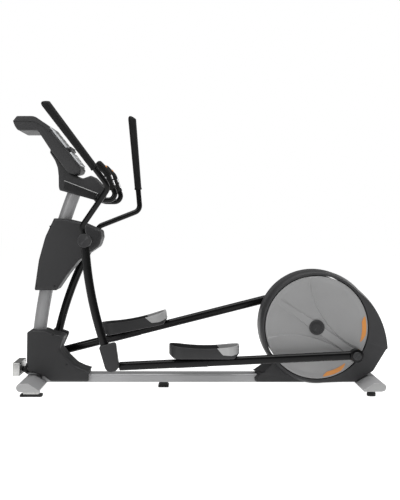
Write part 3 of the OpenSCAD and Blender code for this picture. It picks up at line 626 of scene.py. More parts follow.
def drum_half(side, name, node):
    bm = bmesh.new()
    outline = drum_ring()
    count = len(outline)
    centre = Vector((HUB.x, HUB.z))
    depth = abs(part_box(node)[0].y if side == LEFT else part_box(node)[1].y)
    normals = []
    for i in range(count):
        edge = outline[(i + 2) % count] - outline[i - 2]
        normals.append(Vector((-edge.y, edge.x)).normalized())

    def shoulder(i):
        """The sloped shoulder is widest over the front and top, and fades to the rear."""
        angle = math.degrees(math.atan2(*reversed(outline[i] - centre)))
        fade = 0.5 - 0.5 * math.cos(math.radians(max(0, min(180, (angle - 5) * 3))))
        if angle < -60:
            fade = min(1, (-60 - angle) / 40)
        elif angle < 5:
            fade = 0
        return 0.005 + 0.010 * fade

    def shell(grow):
        rows = []
        inner = COVER_WALL * grow
        # t runs from the seam to the side face, and inset is the share of the shoulder there
        for t, inset in ((0, 0), (0.55, 0), (0.68, 0.03), (0.78, 0.12), (0.9, 0.5), (0.97, 0.86),
                         (0.99, 0.95), (1.0, 1.0)):
            row = []
            for i in range(count):
                y = t * (depth - inner)
                p = outline[i] + normals[i] * (inset * shoulder(i) + inner)
                row.append(Vector((p.x, p.y, max(y, SEAM / 2))))
            rows.append(row)
        return rows

    def circle(r, y):
        row = []
        for i in range(count):
            ray = (outline[i] - centre).normalized()
            row.append(Vector((centre.x + r * ray.x, centre.y + r * ray.y, y)))
        return row

    outer, inside = shell(0), shell(1)
    lip = [circle(DISC_GAP_R + 0.0015, depth), circle(DISC_GAP_R, depth - 0.0015),
           circle(DISC_GAP_R, depth - 0.016), circle(DISC_GAP_R + 0.002, depth - 0.016)]
    skin(bm, outer + lip + list(reversed(inside)), side_view(side), wrap=True)
    # Skirt that runs out over the rail, pointed like a bow above it
    skirt = bmesh.new()
    plate(skirt, SKIRT, SEAM / 2, SKIRT_HALF, 0.0005, 0.002, Matrix.Identity(4))
    for vert in skirt.verts:
        share = max(0.0, min(1.0, (SKIRT_BOW_X - vert.co.x) / SKIRT_BOW_RUN))
        vert.co.x += (0.62 if vert.co.y > 0.090 else 0.25) * vert.co.z * share
    join(bm, skirt, side_view(side))
    piece(f"drum_cover_{name}", bm, "charcoal_plastic", "frame", replaces=(node,))


SPOKE_HALF = 0.0245
SPOKE_RISE = 0.0062
CREASE_RISE = 0.0095
CREASE_POINTS = ((0.195, 0.029), (0.006, 0.063), (-0.186, 0.198))
RIM_DISH = 0.0028
RELIEF_R = 0.283


def disc_height(x, y):
    """Relief over the disc's CAD face in metres, at x along its pin line and y across it."""
    r = math.hypot(x, y)

    def step(edge, width, value):
        t = max(0.0, min(1.0, (value - edge) / width))
        return t * t * (3 - 2 * t)

    # Raised spoke that runs through the hub along the pin line, and narrows outwards
    half = SPOKE_HALF - (0.010 if x > 0 else 0.034) * abs(x)
    spoke = (1 - step(half - 0.003, 0.005, abs(y))) * (1 - step(0.25, 0.02, abs(x)))
    # Two swept creases, arcs that bow towards the hub; each rises at its far side and falls away
    cx, cy, cr = crease_circle()
    inside = cr - math.hypot(x - cx, abs(y) - cy)
    crease = step(-0.0015, 0.003, inside)
    ramp = math.exp(-max(0.0, inside) / 0.05)
    dish = RIM_DISH * (1 - step(0.255, 0.03, r))
    return SPOKE_RISE * spoke + CREASE_RISE * crease * ramp - dish


def crease_circle():
    """Circle through the crease's three points: near the pin, beside the hub, at the rim."""
    (ax, ay), (bx, by), (cx, cy) = CREASE_POINTS
    d = 2 * (ax * (by - cy) + bx * (cy - ay) + cx * (ay - by))
    a2, b2, c2 = ax * ax + ay * ay, bx * bx + by * by, cx * cx + cy * cy
    ux = (a2 * (by - cy) + b2 * (cy - ay) + c2 * (ay - by)) / d
    uy = (a2 * (cx - bx) + b2 * (ax - cx) + c2 * (bx - ax)) / d
    return ux, uy, math.hypot(ax - ux, ay - uy)


def crank_discs():
    bm = bmesh.new()
    low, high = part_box("crank_discs")
    face_y = high.y
    rim_r = (high.x - low.x) / 2
    for side, _ in SIDES:
        pin = CRANK_PIN[side] - HUB
        pin_angle = math.atan2(pin.z, pin.x)
        sides, rings = 288, []
        radii = [0.0001, 0.02] + [0.04 + (RELIEF_R - 0.04) * k / 80 for k in range(81)]
        profile = [(r, None) for r in radii]
        profile += [(rim_r - 0.0015, 0.0), (rim_r, -0.002), (rim_r, -0.009)]
        for r, height in profile:
            row = []
            for k in range(sides):
                a = 2 * math.pi * k / sides
                x, y = r * math.cos(a), r * math.sin(a)
                h = disc_height(x, y) if height is None else height
                row.append(Vector((x, y, face_y + h)))
            rings.append(row)
        rings.append([Vector((0.0001 * math.cos(2 * math.pi * k / sides),
                              0.0001 * math.sin(2 * math.pi * k / sides), face_y - 0.009))
                      for k in range(sides)])
        skin(bm, rings, along_y(HUB, side) @ Matrix.Rotation(pin_angle, 4, "Z"))
    piece("crank_disc_pair", bm, "disc_grey", "crank", replaces=("crank_discs",),
          sharp=math.radians(60))


def accent_strips():
    bm = bmesh.new()
    y1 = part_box("accent_arcs")[1].y
    near, far, inner, outer = (math.radians(9), math.radians(48), 0.257, 0.281)
    edge, steps = 0.0006, 48
    for side, _ in SIDES:
        pin = CRANK_PIN[side] - HUB
        pin_angle = math.atan2(pin.z, pin.x)
        for sense in (1, -1):
            rings = []
            for k in range(steps + 1):
                t = k / steps
                a = near + (far - near) * t
                taper = max(min(1.0, (1 - t) / 0.16) ** 0.6, 0.05)
                r0 = outer - (outer - inner) * taper
                ray = Vector((math.cos(a), math.sin(a) * sense, 0))
                rings.append([Vector((*(ray * r).xy, y)) for r, y in (
                    (r0, y1 - 0.0015), (r0, y1 - edge), (r0 + edge, y1), (outer - edge, y1),
                    (outer, y1 - edge), (outer, y1 - 0.0015))])
            skin(bm, rings, along_y(HUB, side) @ Matrix.Rotation(pin_angle, 4, "Z"))
    piece("disc_accents", bm, "orange_plastic", "crank", replaces=("accent_arcs",))


def hub_caps():
    bm = bmesh.new()
    y1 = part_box("hub_caps")[1].y
    for side, _ in SIDES:
        lathe(bm, [(0.043, y1 - 0.011), (0.043, y1 - 0.006), (0.0405, y1 - 0.003),
                   (0.031, y1 - 0.002), (0.0295, y1 - 0.003), (0.0285, y1 - 0.003),
                   (0.0275, y1 - 0.0008), (0.025, y1), (0.012, y1 - 0.0006), (0, y1 - 0.0008)],
              along_y(HUB, side), 96)
    piece("hub_cap_pair", bm, "charcoal_plastic", "crank", replaces=("hub_caps",))


# ---- swing arms ------------------------------------------------------------------------

ARM_TUBE_R = 0.024
ARM_BOW = 0.030
HUB_R = 0.035
HUB_HALF = 0.031
HANDLE_R = 0.0159
HANDLE_BEND = 0.045
HANDLE_DROP = 0.129
GRIP_START = Vector((0.144, 0.330, 0.373))
GRIP_END = Vector((-0.048, 0.346, 0.791))
GRIP_DIR = (GRIP_END - GRIP_START).normalized()
HANDLE_PATH = [(0, 0.250, 0.022), (0, 0.250, 0.080), GRIP_START - HANDLE_DROP * GRIP_DIR]
GRIP_LOW_R = 0.0205
GRIP_TOP_R = 0.0245
GRIP_TIP = 0.030
GRIP_FLANGE = 0.0105
GRIP_SLANT = 0.55
TUBE_IN_GRIP = 0.9


def bowed_path(z0, z1, steps=40):
    """Centreline of the lower tube: an arc that bows forward between the joints."""
    radius = (ARM_LEN ** 2 / 4 + ARM_BOW ** 2) / (2 * ARM_BOW)
    path = []
    for k in range(steps + 1):
        z = z0 + (z1 - z0) * k / steps
        rise = z + ARM_LEN / 2
        path.append(Vector((radius - ARM_BOW - math.sqrt(radius ** 2 - rise ** 2), ARM_Y, z)))
    return path


def swing_arm(side, name):
    place = arm_frame(side)
    body = name + "_arm"
    tube = bmesh.new()
    sweep(tube, bowed_path(-0.026, -ARM_LEN + 0.01), ARM_TUBE_R, place, 40)
    y0, y1 = ARM_Y - HUB_HALF, ARM_Y + HUB_HALF
    lathe(tube, [(0.016, y0), (HUB_R - 0.002, y0), (HUB_R, y0 + 0.002), (HUB_R, y1), (0, y1)],
          place @ along_y(Vector((0, 0, 0))), 72)
    lathe(tube, [(0.011, ARM_Y - 0.031), (0.021, ARM_Y - 0.031), (0.022, ARM_Y - 0.030),
                 (0.022, ARM_Y + 0.02), (0, ARM_Y + 0.02)],
          place @ along_y(Vector((0, 0, -ARM_LEN))), 48)
    piece(f"{name}_lower_tube", tube, "black_steel", body, replaces=(name + "_arm_tube",))

    cap = bmesh.new()
    lathe(cap, [(0.034, y1), (0.0378, y1 + 0.001), (0.038, y1 + 0.003), (0.0372, y1 + 0.0062),
                (0.0345, y1 + 0.0078), (0.030, y1 + 0.008), (0.028, y1 + 0.0074),
                (0, y1 + 0.0074)], place @ along_y(Vector((0, 0, 0))), 72)
    piece(f"{name}_hub_cap", cap, "charcoal_plastic", body, replaces=(name + "_pivot_cap",))

    handle = bmesh.new()
    top = GRIP_START + (GRIP_END - GRIP_START) * TUBE_IN_GRIP
    sweep(handle, bent_path([*HANDLE_PATH, top], HANDLE_BEND), HANDLE_R, place, 32)
    piece(f"{name}_upper_tube", handle, "black_steel", body, replaces=(name + "_handle_tube",))

    grip = bmesh.new()
    run = (GRIP_END - GRIP_START).length
    sides = 48
    rows = [(GRIP_LOW_R - 0.002, -0.002, 0), (GRIP_LOW_R + 0.0016, -0.0015, 0),
            (GRIP_LOW_R + 0.002, 0.003, 0), (GRIP_LOW_R + 0.0018, 0.009, 0),
            (GRIP_LOW_R + 0.0002, GRIP_FLANGE, 0)]
    straight = run - GRIP_TIP
    for k in range(1, 25):
        t = k / 24
        rows.append((GRIP_LOW_R + (GRIP_TOP_R - GRIP_LOW_R) * t,
                     GRIP_FLANGE + (straight - GRIP_FLANGE) * t, 0))
    for k in range(1, 13):
        t = math.sin(math.pi / 2 * k / 12)
        rows.append((GRIP_TOP_R * math.sqrt(max(0.0004, 1 - t ** 2.6)), straight + GRIP_TIP * t, t))
    rings = []
    for r, z, bend in rows:
        ring = []
        for k in range(sides):
            a = 2 * math.pi * k / sides
            x, y = r * math.cos(a), r * math.sin(a)
            ring.append(Vector((x, y, z - GRIP_SLANT * bend * (x + GRIP_TOP_R / 2))))
        rings.append(ring)
    skin(grip, rings, place @ aimed(GRIP_START, GRIP_DIR))
    piece(f"{name}_grip_sleeve", grip, "grip_rubber", body, replaces=(name + "_handle_grip",))

    casing = bmesh.new()
    low = -ARM_LEN
    outline = [(-0.048, low + 0.118, 0.014), (-0.0365, low - 0.036, 0.035),
               (0.0365, low - 0.036, 0.035), (0.048, low + 0.118, 0.014)]
    plate(casing, outline, ARM_Y - 0.014, ARM_Y + 0.036, 0.003, 0.008,
          place @ side_view(RIGHT), 10)
    piece(f"{name}_joint_cover", casing, "charcoal_plastic", body,
          replaces=(name + "_joint_casing",))


# ---- foot bars and pedals --------------------------------------------------------------

BAR_Y = 0.188
BAR_W = 0.044
BAR_H = 0.048
BAR_DROP = 0.020
BAR_FRONT = 0.034
HOUSING_R = 0.037
HOUSING_Y0 = BAR_Y - BAR_W / 2
HOUSING_Y1 = 0.225
PEDAL_AT = Vector((0.312, 0.150, 0.016))
PEDAL_TILT = math.radians(1.9)
PEDAL_LEN = 0.395
PEDAL_HALF = 0.086
PEDAL_TOE_R = 0.076
PEDAL_HEEL_R = 0.070
PEDAL_END_Z = 0.077
PEDAL_MID_Z = 0.059
PEDAL_WALL = 0.007
PEDAL_FLOOR = 0.014
MAT_GAP = 0.009
RIB_PITCH = 0.0125
RIB_HALF = 0.0035
SADDLE_SPAN = (0.352, 0.528)


def bar_line():
    """Frame of the bar's own centreline: local Z runs rearward from the front joint."""
    sink = math.asin(BAR_DROP / BAR_LEN)
    turn = Matrix.Translation((BAR_LEN, BAR_Y, 0)) @ Matrix.Rotation(-sink, 4, "Y")
    shift = Matrix.Translation((-BAR_LEN, 0, 0))
    return turn @ shift @ REARWARD


def bar_section(grow=0.0):
    w, h, r = BAR_W / 2 + grow, BAR_H / 2 + grow, 0.018 + grow
    return box_corners(-w, w, -h, h, r)


def foot_bar(side, name):
    place = bar_frame(side)
    body = name + "_bar"
    line = place @ bar_line()
    bm = bmesh.new()
    plate(bm, bar_section(), BAR_FRONT, BAR_LEN - 0.01, 0.007, 0.002, line, 8)
    plate(bm, box_corners(-0.015, 0.015, -0.008, 0.020, 0.004), 0.008, BAR_FRONT + 0.01, 0.002,
          0.001, line)
    lathe(bm, [(0.010, HOUSING_Y0), (0.019, HOUSING_Y0), (0.020, HOUSING_Y0 + 0.001),
               (0.020, BAR_Y + BAR_W / 2 + 0.002), (0, BAR_Y + BAR_W / 2 + 0.002)],
          place @ along_y(Vector((0, 0, 0))), 48)
    lathe(bm, [(0.016, HOUSING_Y0 + 0.002), (0.018, HOUSING_Y0), (HOUSING_R - 0.003, HOUSING_Y0),
               (HOUSING_R, HOUSING_Y0 + 0.003), (HOUSING_R, HOUSING_Y1 - 0.007),
               (HOUSING_R - 0.002, HOUSING_Y1 - 0.002), (HOUSING_R - 0.007, HOUSING_Y1),
               (0, HOUSING_Y1)],
          place @ along_y(Vector((BAR_LEN, 0, 0))), 72)
    piece(f"{name}_bar_tube", bm, "black_steel", body, replaces=(name + "_foot_bar",))

    saddle = bmesh.new()
    plate(saddle, bar_section(0.0014), *SADDLE_SPAN, 0.0006, 0.0006, line, 8)
    piece(f"{name}_pedal_saddle", saddle, "black_steel", body)

    cap = bmesh.new()
    y = HOUSING_Y1
    lathe(cap, [(0.0225, y - 0.001), (0.0232, y + 0.001), (0.0228, y + 0.006), (0.020, y + 0.0085),
                (0.0165, y + 0.009), (0.0155, y + 0.0082), (0, y + 0.0082)],
          place @ along_y(Vector((BAR_LEN, 0, 0))), 64)
    piece(f"{name}_pin_cap", cap, "charcoal_plastic", body, replaces=(name + "_crank_cap",))


def pedal_frame(side):
    return (bar_frame(side) @ Matrix.Translation(PEDAL_AT)
            @ Matrix.Rotation(PEDAL_TILT, 4, "Y"))


def pedal_plan():
    w = PEDAL_HALF
    return [(0.002, -w, PEDAL_TOE_R), (PEDAL_LEN, -w, PEDAL_HEEL_R), (PEDAL_LEN, w, PEDAL_HEEL_R),
            (0.002, w, PEDAL_TOE_R)]


def rim_height(x):
    """The rim dips in the middle along one large arc."""
    dip = PEDAL_END_Z - PEDAL_MID_Z
    radius = (PEDAL_LEN ** 2 / 4 + dip ** 2) / (2 * dip)
    off = x - PEDAL_LEN / 2 - 0.010
    return min(PEDAL_END_Z, PEDAL_MID_Z + radius - math.sqrt(radius ** 2 - off ** 2))


def toe_lift(x):
    """How far the underside is cut away at the toe and heel."""
    toe = max(0.0, 0.032 - x) * 0.75
    heel = max(0.0, x - PEDAL_LEN + 0.028) * 0.95
    return max(toe, heel)


def spread(corners, inset, edge_steps=14, corner_steps=12):
    """Outline with points along its straight edges too, so a dipped rim stays smooth."""
    ring = rounded(corners, inset, corner_steps)
    per = corner_steps + 1
    out = []
    for i in range(len(corners)):
        out += ring[i * per:(i + 1) * per]
        a, b = ring[(i + 1) * per - 1], ring[((i + 1) * per) % len(ring)]
        out += [a + (b - a) * k / edge_steps for k in range(1, edge_steps)]
    return out


def pedal_ring(inset, low=None, below_rim=None):
    """A ring round the pedal, at a height above its underside or below its rim."""
    ring = []
    for p in spread(pedal_plan(), inset):
        z = rim_height(p.x) - below_rim if low is None else max(low, toe_lift(p.x) + low * 0.3)
        ring.append(Vector((p.x, p.y, z)))
    return ring


def pedal(side, name):
    place = pedal_frame(side)
    body = name + "_bar"
    bm = bmesh.new()
    rings = [pedal_ring(0.040, low=0), pedal_ring(0.009, low=0), pedal_ring(0.004, low=0.0015),
             pedal_ring(0.0015, low=0.004), pedal_ring(0, low=0.010),
             pedal_ring(0, below_rim=0.004), pedal_ring(0.0004, below_rim=0.002),
             pedal_ring(0.0016, below_rim=0.0006), pedal_ring(0.0035, below_rim=0),
             pedal_ring(0.0054, below_rim=0.0006), pedal_ring(0.0066, below_rim=0.002),
             pedal_ring(PEDAL_WALL, below_rim=0.004)]
    for inset, z in ((PEDAL_WALL, PEDAL_FLOOR + 0.006), (PEDAL_WALL + 0.002, PEDAL_FLOOR + 0.002),
                     (PEDAL_WALL + 0.006, PEDAL_FLOOR)):
        rings.append([Vector((p.x, p.y, z)) for p in spread(pedal_plan(), inset)])
    skin(bm, rings, place)
    piece(f"{name}_pedal_tray", bm, "charcoal_plastic", body, replaces=(name + "_pedal_shell",))

    mat = bmesh.new()
    plan = [(x + (MAT_GAP if x < 0.2 else -MAT_GAP), y + (MAT_GAP if y < 0 else -MAT_GAP),
             r - MAT_GAP) for x, y, r in pedal_plan()]
    plate(mat, plan, PEDAL_FLOOR, PEDAL_FLOOR + 0.0035, 0.0005, 0.001, place, 10)
    for k in range(-5, 6):
        y = k * RIB_PITCH
        bulge = math.sqrt(max(0, PEDAL_TOE_R ** 2 - max(0, abs(y) - 0.004) ** 2))
        reach = 0.018 + PEDAL_TOE_R - bulge
        rib = box_corners(reach, PEDAL_LEN - reach, y - RIB_HALF, y + RIB_HALF, 0.0034)
        plate(mat, rib, PEDAL_FLOOR + 0.003, PEDAL_FLOOR + 0.0052, 0.0001, 0.001, place, 4)
    piece(f"{name}_tread_mat", mat, "rubber", body, replaces=(name + "_pedal_mat",))
    heel_trim(name, place)


def heel_trim(name, place):
    """Light band that wraps the heel end of the wall, inside and out."""
    body = name + "_bar"
    proud = 0.0008
    rise = 12

    def start_x(t):
        return 0.302 - 0.032 * t ** 0.9

    def low_z(x):
        return 0.024 - 0.004 * min(1, max(0, (x - 0.300) / 0.045)) + 0.012 * max(
            0, (x - 0.345) / 0.05) ** 1.5

    corner_x = PEDAL_LEN - PEDAL_HEEL_R

    def station(u, t, inset):
        """Point on the wall: u runs round the heel, t up the wall from its lower edge."""
        side_share = 0.3
        w, r = PEDAL_HALF - inset, PEDAL_HEEL_R - inset
        straight_y = PEDAL_HALF - PEDAL_HEEL_R
        start = start_x(t)
        if u < side_share:
            x, y = start + (corner_x - start) * u / side_share, -w
        elif u > 1 - side_share:
            x, y = start + (corner_x - start) * (1 - u) / side_share, w
        else:
            s = (u - side_share) / (1 - 2 * side_share)
            quarter = math.pi / 2 * r
            total = 2 * quarter + 2 * straight_y
            d = s * total
            if d < quarter:
                a = d / r - math.pi / 2
                x, y = corner_x + r * math.cos(a), -straight_y + r * math.sin(a)
            elif d > quarter + 2 * straight_y:
                a = (d - quarter - 2 * straight_y) / r
                x, y = corner_x + r * math.cos(a), straight_y + r * math.sin(a)
            else:
                x, y = corner_x + r, -straight_y + d - quarter
        top = rim_height(x) + 0.0006
        return Vector((x, y, low_z(x) + (top - low_z(x)) * t))

    rings = []
    stations = 96
    for k in range(stations + 1):
        u = k / stations
        ring = [station(u, 0.93 * i / rise, -proud) for i in range(rise + 1)]
        ring += [station(u, 0.975, -proud + 0.0008), station(u, 1.0, 0.0022),
                 station(u, 1.0, PEDAL_WALL - 0.0022),
                 station(u, 0.975, PEDAL_WALL + proud - 0.0008)]
        ring += [station(u, 0.93 * i / rise, PEDAL_WALL + proud) for i in range(rise, -1, -1)]
        rings.append(ring)
    bm = bmesh.new()
    skin(bm, rings, place)
    piece(f"{name}_heel_band", bm, "heel_grey", body, replaces=(name + "_heel_trim",))


# ---- console, boom and fixed handlebars ------------------------------------------------

CONSOLE = mm([
    (-1050, 1515, 4), (-1026, 1543, 14), (-928, 1543, 60), (-861, 1497, 40),
    (-661, 1253, 12), (-668, 1229, 14), (-700, 1220, 8), (-735, 1230, 6),
    (-837, 1355, 20), (-912, 1466, 14), (-1024, 1466, 22), (-1040, 1490, 10)])
HOOD = mm([
    (-1052, 1514, 3), (-1027, 1546, 14), (-928, 1546, 60), (-858, 1499, 40), (-833, 1468, 3),
    (-846, 1459, 3), (-874, 1488, 40), (-930, 1516, 50), (-1030, 1516, 6)])
CONSOLE_Y = 0.178
CONSOLE_WAIST = (1.470, 1.220)
CONSOLE_TOP_SHARE = 0.90
CONSOLE_WAIST_LOSS = 0.27
CONSOLE_WAIST_SHIFT = 0.014
CONSOLE_SPLIT_Z = 1.40
HOOD_PROUD = 0.005
SLOPE_A = Vector((-0.861, 0, 1.497))
SLOPE_B = Vector((-0.661, 0, 1.253))
BOOM = mm([
    (-844, 1363, 1), (-855, 1363, 4), (-857, 1348, 6), (-829, 1304, 60), (-813, 1262, 80),
    (-808, 1215, 60), (-807, 1150, 60), (-802, 1132, 8), (-684, 1099, 60), (-575, 1068, 20),
    (-539, 1100, 30), (-545, 1152, 24), (-597, 1206, 20), (-622, 1217, 16), (-668, 1200, 20),
    (-717, 1221, 2), (-736, 1229, 1), (-838, 1354, 1)])
# Dark plate proud of the boom side: a painted shadow below the upper shell's edge.
BOOM_SHADOW_PANEL = mm([
    (-770, 1182, 4), (-778, 1136, 10), (-684, 1106, 30), (-592, 1078, 8), (-576, 1092, 6),
    (-580, 1108, 4)])
# Light grey strip along the boom side: a painted highlight where the shell's edge catches the light.
BOOM_HIGHLIGHT_STRIP = mm([(-775, 1190, 1), (-774, 1185.5, 1), (-581, 1110.5, 1), (-580, 1115, 1)])
HANDLE_ROOT = Vector((-0.585, 0, 1.096))
FIXED_LOW = Vector((-0.575, 0.214, 1.072))
FIXED_BACK = Vector((-0.452, 0.214, 1.072))
FIXED_FOOT = Vector((-0.484, 0.214, 1.136))
FIXED_BEND = Vector((-0.516, 0.214, 1.226))
FIXED_TOP = Vector((-0.560, 0.214, 1.272))
FIXED_R = 0.015
FIXED_GRIP_R = 0.0205


def slope_frame():
    """Local X runs across the machine, Y down the user's slope, and Z out of it."""
    down = (SLOPE_B - SLOPE_A).normalized()
    across = Vector((0, 1, 0))
    out = down.cross(across)
    matrix = Matrix((across, down, out)).transposed().to_4x4()
    matrix.translation = SLOPE_A
    return matrix


def narrowed(bm):
    """Draws a console part in towards its lower end, on both sides alike."""
    top, foot = CONSOLE_WAIST
    for vert in bm.verts:
        t = max(0.0, min(1.2, (top - vert.co.z) / (top - foot)))
        vert.co.y *= CONSOLE_TOP_SHARE - CONSOLE_WAIST_LOSS * t * t
        vert.co.x -= CONSOLE_WAIST_SHIFT * t * t
    return bm


def console():
    bm = bmesh.new()
    for side, _ in SIDES:
        plate(bm, CONSOLE, 0, CONSOLE_Y, 0.0001, 0.012, side_view(side), 8)
    bmesh.ops.bisect_plane(bm, geom=bm.verts[:] + bm.edges[:] + bm.faces[:],
                           plane_co=(0, 0, CONSOLE_SPLIT_Z), plane_no=(0, 0, 1))
    narrowed(bm)
    piece("console_housing", bm, "charcoal_plastic", "frame", replaces=("console_back",))

    hood = bmesh.new()
    for side, _ in SIDES:
        plate(hood, HOOD, 0, CONSOLE_Y + HOOD_PROUD, 0.0001, 0.003, side_view(side), 8)
    piece("console_hood", narrowed(hood), "charcoal_plastic", "frame")

    slope = slope_frame()
    length = (SLOPE_B - SLOPE_A).length
    bezel = bmesh.new()
    plate(bezel, box_corners(-0.170, 0.170, 0.012, length - 0.012, 0.02), -0.012, 0.0045,
          0.001, 0.003, slope)
    rack = bmesh.new()
    plate(rack, box_corners(-0.120, 0.120, 0.178, 0.194, 0.005), 0.001, 0.021, 0.001, 0.003,
          slope)
    plate(rack, box_corners(-0.120, 0.120, 0.172, 0.180, 0.003), 0.016, 0.026, 0.001, 0.003,
          slope)
    piece("console_face", narrowed(bezel), "charcoal_plastic", "frame", replaces=("console_bezel",))
    piece("reading_rack", narrowed(rack), "charcoal_plastic", "frame")

    lens = bmesh.new()
    plate(lens, box_corners(-0.167, 0.167, 0.020, 0.168, 0.014), 0.003, 0.0115, 0.001, 0.003,
          slope)
    piece("upper_lens", narrowed(lens), "screen_lens", "frame", replaces=("upper_display",))
    pad = bmesh.new()
    plate(pad, box_corners(-0.164, 0.164, 0.202, 0.296, 0.014), 0.003, 0.0115, 0.001, 0.003,
          slope)
    piece("lower_lens", narrowed(pad), "screen_lens", "frame", replaces=("lower_keypad",))
    glass = bmesh.new()
    plate(glass, box_corners(-0.095, 0.095, 0.036, 0.150, 0.006), 0.0105, 0.0120, 0.0003,
          0.0006, slope)
    piece("display_window", narrowed(glass), "display_glass", "frame")
    keys = bmesh.new()
    for column in (-1, 1):
        for row in range(4):
            y = 0.044 + row * 0.030
            plate(keys, box_corners(column * 0.124 - 0.013, column * 0.124 + 0.013, y, y + 0.016,
                                    0.006), 0.0105, 0.0122, 0.0003, 0.0008, slope, 4)
    for column in range(-3, 4):
        x = column * 0.034
        for y in (0.262, 0.226):
            plate(keys, box_corners(x - 0.012, x + 0.012, y, y + 0.016, 0.006), 0.0105, 0.0122,
                  0.0003, 0.0008, slope, 4)
    piece("console_keys", narrowed(keys), "end_cap_plastic", "frame")


def boom():
    for side, name in SIDES:
        bm = bmesh.new()
        node = f"boom_{name}"
        depth = max(abs(v) for v in (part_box(node)[0].y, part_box(node)[1].y))
        plate(bm, BOOM, SEAM / 2, depth, SEAM, 0.012, side_view(side), 8)
        piece(f"boom_cover_{name}", bm, "charcoal_plastic", "frame", replaces=(node,))
        # Dark plastic plate: painted shadow under the light strip.
        shadow_panel = bmesh.new()
        plate(shadow_panel, BOOM_SHADOW_PANEL, depth - 0.004, depth + 0.0035, 0.0005, 0.0025,
              side_view(side), 6)
        piece(f"boom_shadow_panel_{name}", shadow_panel, "dark_plastic", "frame")
        # Light grey strip: painted highlight along the edge above the dark plate.
        line = bmesh.new()
        plate(line, BOOM_HIGHLIGHT_STRIP, depth - 0.004, depth + 0.0045, 0.0002, 0.0008, side_view(side), 3)
        piece(f"boom_highlight_strip_{name}", line, "end_cap_plastic", "frame")


def fixed_bars():
    tube, grips, plates = bmesh.new(), bmesh.new(), bmesh.new()
    direction = (FIXED_BEND - FIXED_FOOT).normalized()
    tip_direction = (FIXED_TOP - FIXED_BEND).normalized()
    r = FIXED_GRIP_R
    for side, _ in SIDES:
        flip = Matrix.Diagonal((1, side, 1, 1))
        path = bent_path([HANDLE_ROOT, HANDLE_ROOT + Vector((0, 0.070, 0)), FIXED_LOW, FIXED_BACK,
                          FIXED_FOOT + direction * 0.02], 0.036)
        sweep(tube, path, FIXED_R, flip, 32)
        sweep(grips, bent_path([FIXED_FOOT, FIXED_BEND, FIXED_TOP], 0.05), r, flip, 48)
        lathe(grips, [(r * math.cos(math.pi / 2 * k / 10), 0.8 * r * math.sin(math.pi / 2 * k / 10))
                      for k in range(11)], flip @ aimed(FIXED_TOP, tip_direction), 48)
        place = flip @ aimed(FIXED_FOOT, direction)
        lathe(grips, [(0.014, -0.005), (r + 0.0006, -0.004), (r + 0.0012, 0.003), (r, 0.006)],
              place, 48)
        for z0, z1 in ((0.014, 0.042), (0.050, 0.074)):
            for facing in (0.0, math.pi):
                rings = []
                for k in range(17):
                    a = facing + math.radians(-52 + 104 * k / 16)
                    fade = 1 - abs(k - 8) / 8
                    lift = r + 0.0004 + 0.0008 * min(1, fade * 6)
                    c, s = math.cos(a), math.sin(a)
                    rings.append([Vector((c * q, s * q, z)) for q, z in (
                        (r - 0.001, z0), (lift, z0 + 0.001), (lift, z1 - 0.001), (r - 0.001, z1))])
                skin(plates, rings, place)
    piece("fixed_handlebar_tube", tube, "black_steel", "frame", replaces=("fixed_handlebars",))
    piece("fixed_grip_pair", grips, "grip_rubber", "frame", replaces=("fixed_grips",))
    piece("pulse_plates", plates, "bare_steel", "frame")
    for _, name in SIDES:
        node = f"{name}_thumb_button"
        press = Vector(JOINTS[f"{name}_button_press"]["axis"])
        bm = bmesh.new()
        centre = middle(node)
        lathe(bm, [(0.0095, -0.006), (0.0095, 0.0036), (0.0086, 0.0048), (0.006, 0.0056),
                   (0, 0.006)], aimed(centre - press * 0.0015, -press), 40)
        piece(f"{name}_button_cap", bm, "orange_plastic", f"{name}_thumb_button_body",
              replaces=(node,))


# ---- assembly --------------------------------------------------------------------------

stabilizer_caps()
front_pads()
levelling_feet()
centre_pad()
connector()
cover_halves("front_cover", FRONT_COVER, ("front_shroud_left", "front_shroud_right"), 0.012)
cover_halves("mid_cover", MID_COVER, ("mid_shroud_left", "mid_shroud_right"), 0.016)
side_screws("front_cover_screws", [(-836, 311), (-757, 138)], 0.0895)
side_screws("mid_cover_screws", [(-849, 926), (-928, 586), (-825, 586)], 0.0995, r=0.0048)
for (drum_side, drum_name), drum_node in zip(SIDES, ("drum_shroud_left", "drum_shroud_right")):
    drum_half(drum_side, drum_name, drum_node)
crank_discs()
accent_strips()
hub_caps()
for arm_side, arm_name in SIDES:
    swing_arm(arm_side, arm_name)
    foot_bar(arm_side, arm_name)
    pedal(arm_side, arm_name)
console()
boom()
fixed_bars()

# ---- stage: floor, light and camera ----------------------------------------------------


def stage_floor():
    bm = bmesh.new()
    bmesh.ops.create_circle(bm, cap_ends=True, radius=40, segments=96)
    mesh = bpy.data.meshes.new("floor")
    bm.to_mesh(mesh)
    bm.free()
    look = Look("floor_paper", (0.5, 0.5, 0.5), 0.95).mottle(0.6, 0.005)
    look.set("Emission Color", (1, 1, 1, 1)).set("Emission Strength", 0.93)
    look.set("Specular IOR Level", 0.0)
    mesh.materials.append(look.material)
    floor = bpy.data.objects.new("floor", mesh)
    bpy.context.scene.collection.objects.link(floor)


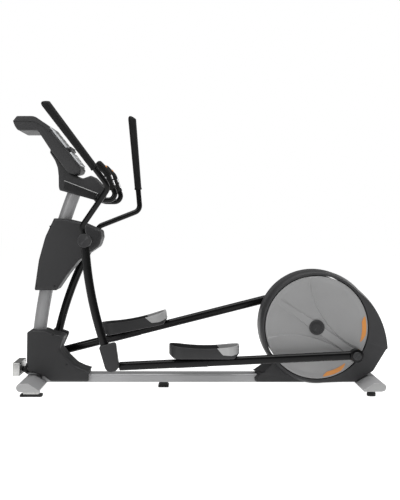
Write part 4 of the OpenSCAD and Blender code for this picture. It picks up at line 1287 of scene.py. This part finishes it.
def studio_world(seen, ambient):
    """White backdrop for the camera, and a softer fill for everything else."""
    world = bpy.data.worlds.new("studio")
    bpy.context.scene.world = world
    world.use_nodes = True
    nodes, links = world.node_tree.nodes, world.node_tree.links
    nodes.clear()
    output = nodes.new("ShaderNodeOutputWorld")
    mix = nodes.new("ShaderNodeMixShader")
    path = nodes.new("ShaderNodeLightPath")
    backgrounds = []
    for strength in (ambient, seen):
        background = nodes.new("ShaderNodeBackground")
        background.inputs["Color"].default_value = (1, 1, 1, 1)
        background.inputs["Strength"].default_value = strength
        backgrounds.append(background)
    links.new(path.outputs["Is Camera Ray"], mix.inputs["Fac"])
    links.new(backgrounds[0].outputs["Background"], mix.inputs[1])
    links.new(backgrounds[1].outputs["Background"], mix.inputs[2])
    links.new(mix.outputs["Shader"], output.inputs["Surface"])


def soft_light(name, place, aim, size, power):
    data = bpy.data.lights.new(name, "AREA")
    data.shape = "RECTANGLE"
    data.size, data.size_y = size
    data.energy = power
    light = bpy.data.objects.new(name, data)
    light.location = place
    light.rotation_euler = (Vector(aim) - Vector(place)).to_track_quat("-Z", "Y").to_euler()
    bpy.context.scene.collection.objects.link(light)


def camera():
    """Level camera on the left side, at the height of the arm pivots."""
    data = bpy.data.cameras.new("camera")
    focal_pixels, principal_x, principal_y, width, height = 903.5, 189.0, 221.9, 400, 500
    data.sensor_width = 36.0
    data.lens = focal_pixels / height * data.sensor_width
    data.shift_x = (width / 2 - principal_x) / height
    data.shift_y = (principal_y - height / 2) / height
    data.dof.use_dof = False
    obj = bpy.data.objects.new("camera", data)
    obj.location = (-0.060, -5.235, 0.951)
    obj.rotation_euler = (math.pi / 2, 0, 0)
    bpy.context.scene.collection.objects.link(obj)
    bpy.context.scene.camera = obj


stage_floor()
studio_world(1.0, 0.14)
soft_light("overhead", (0.0, -0.6, 4.2), (0, 0, 0.4), (5.0, 4.0), 210)
soft_light("left_front", (-3.4, -4.2, 3.0), (-0.1, 0, 0.7), (2.6, 2.6), 90)
soft_light("right_back", (3.6, 3.2, 2.8), (0.2, 0, 0.6), (2.6, 2.6), 70)
camera()
bpy.context.scene.view_settings.view_transform = "Standard"
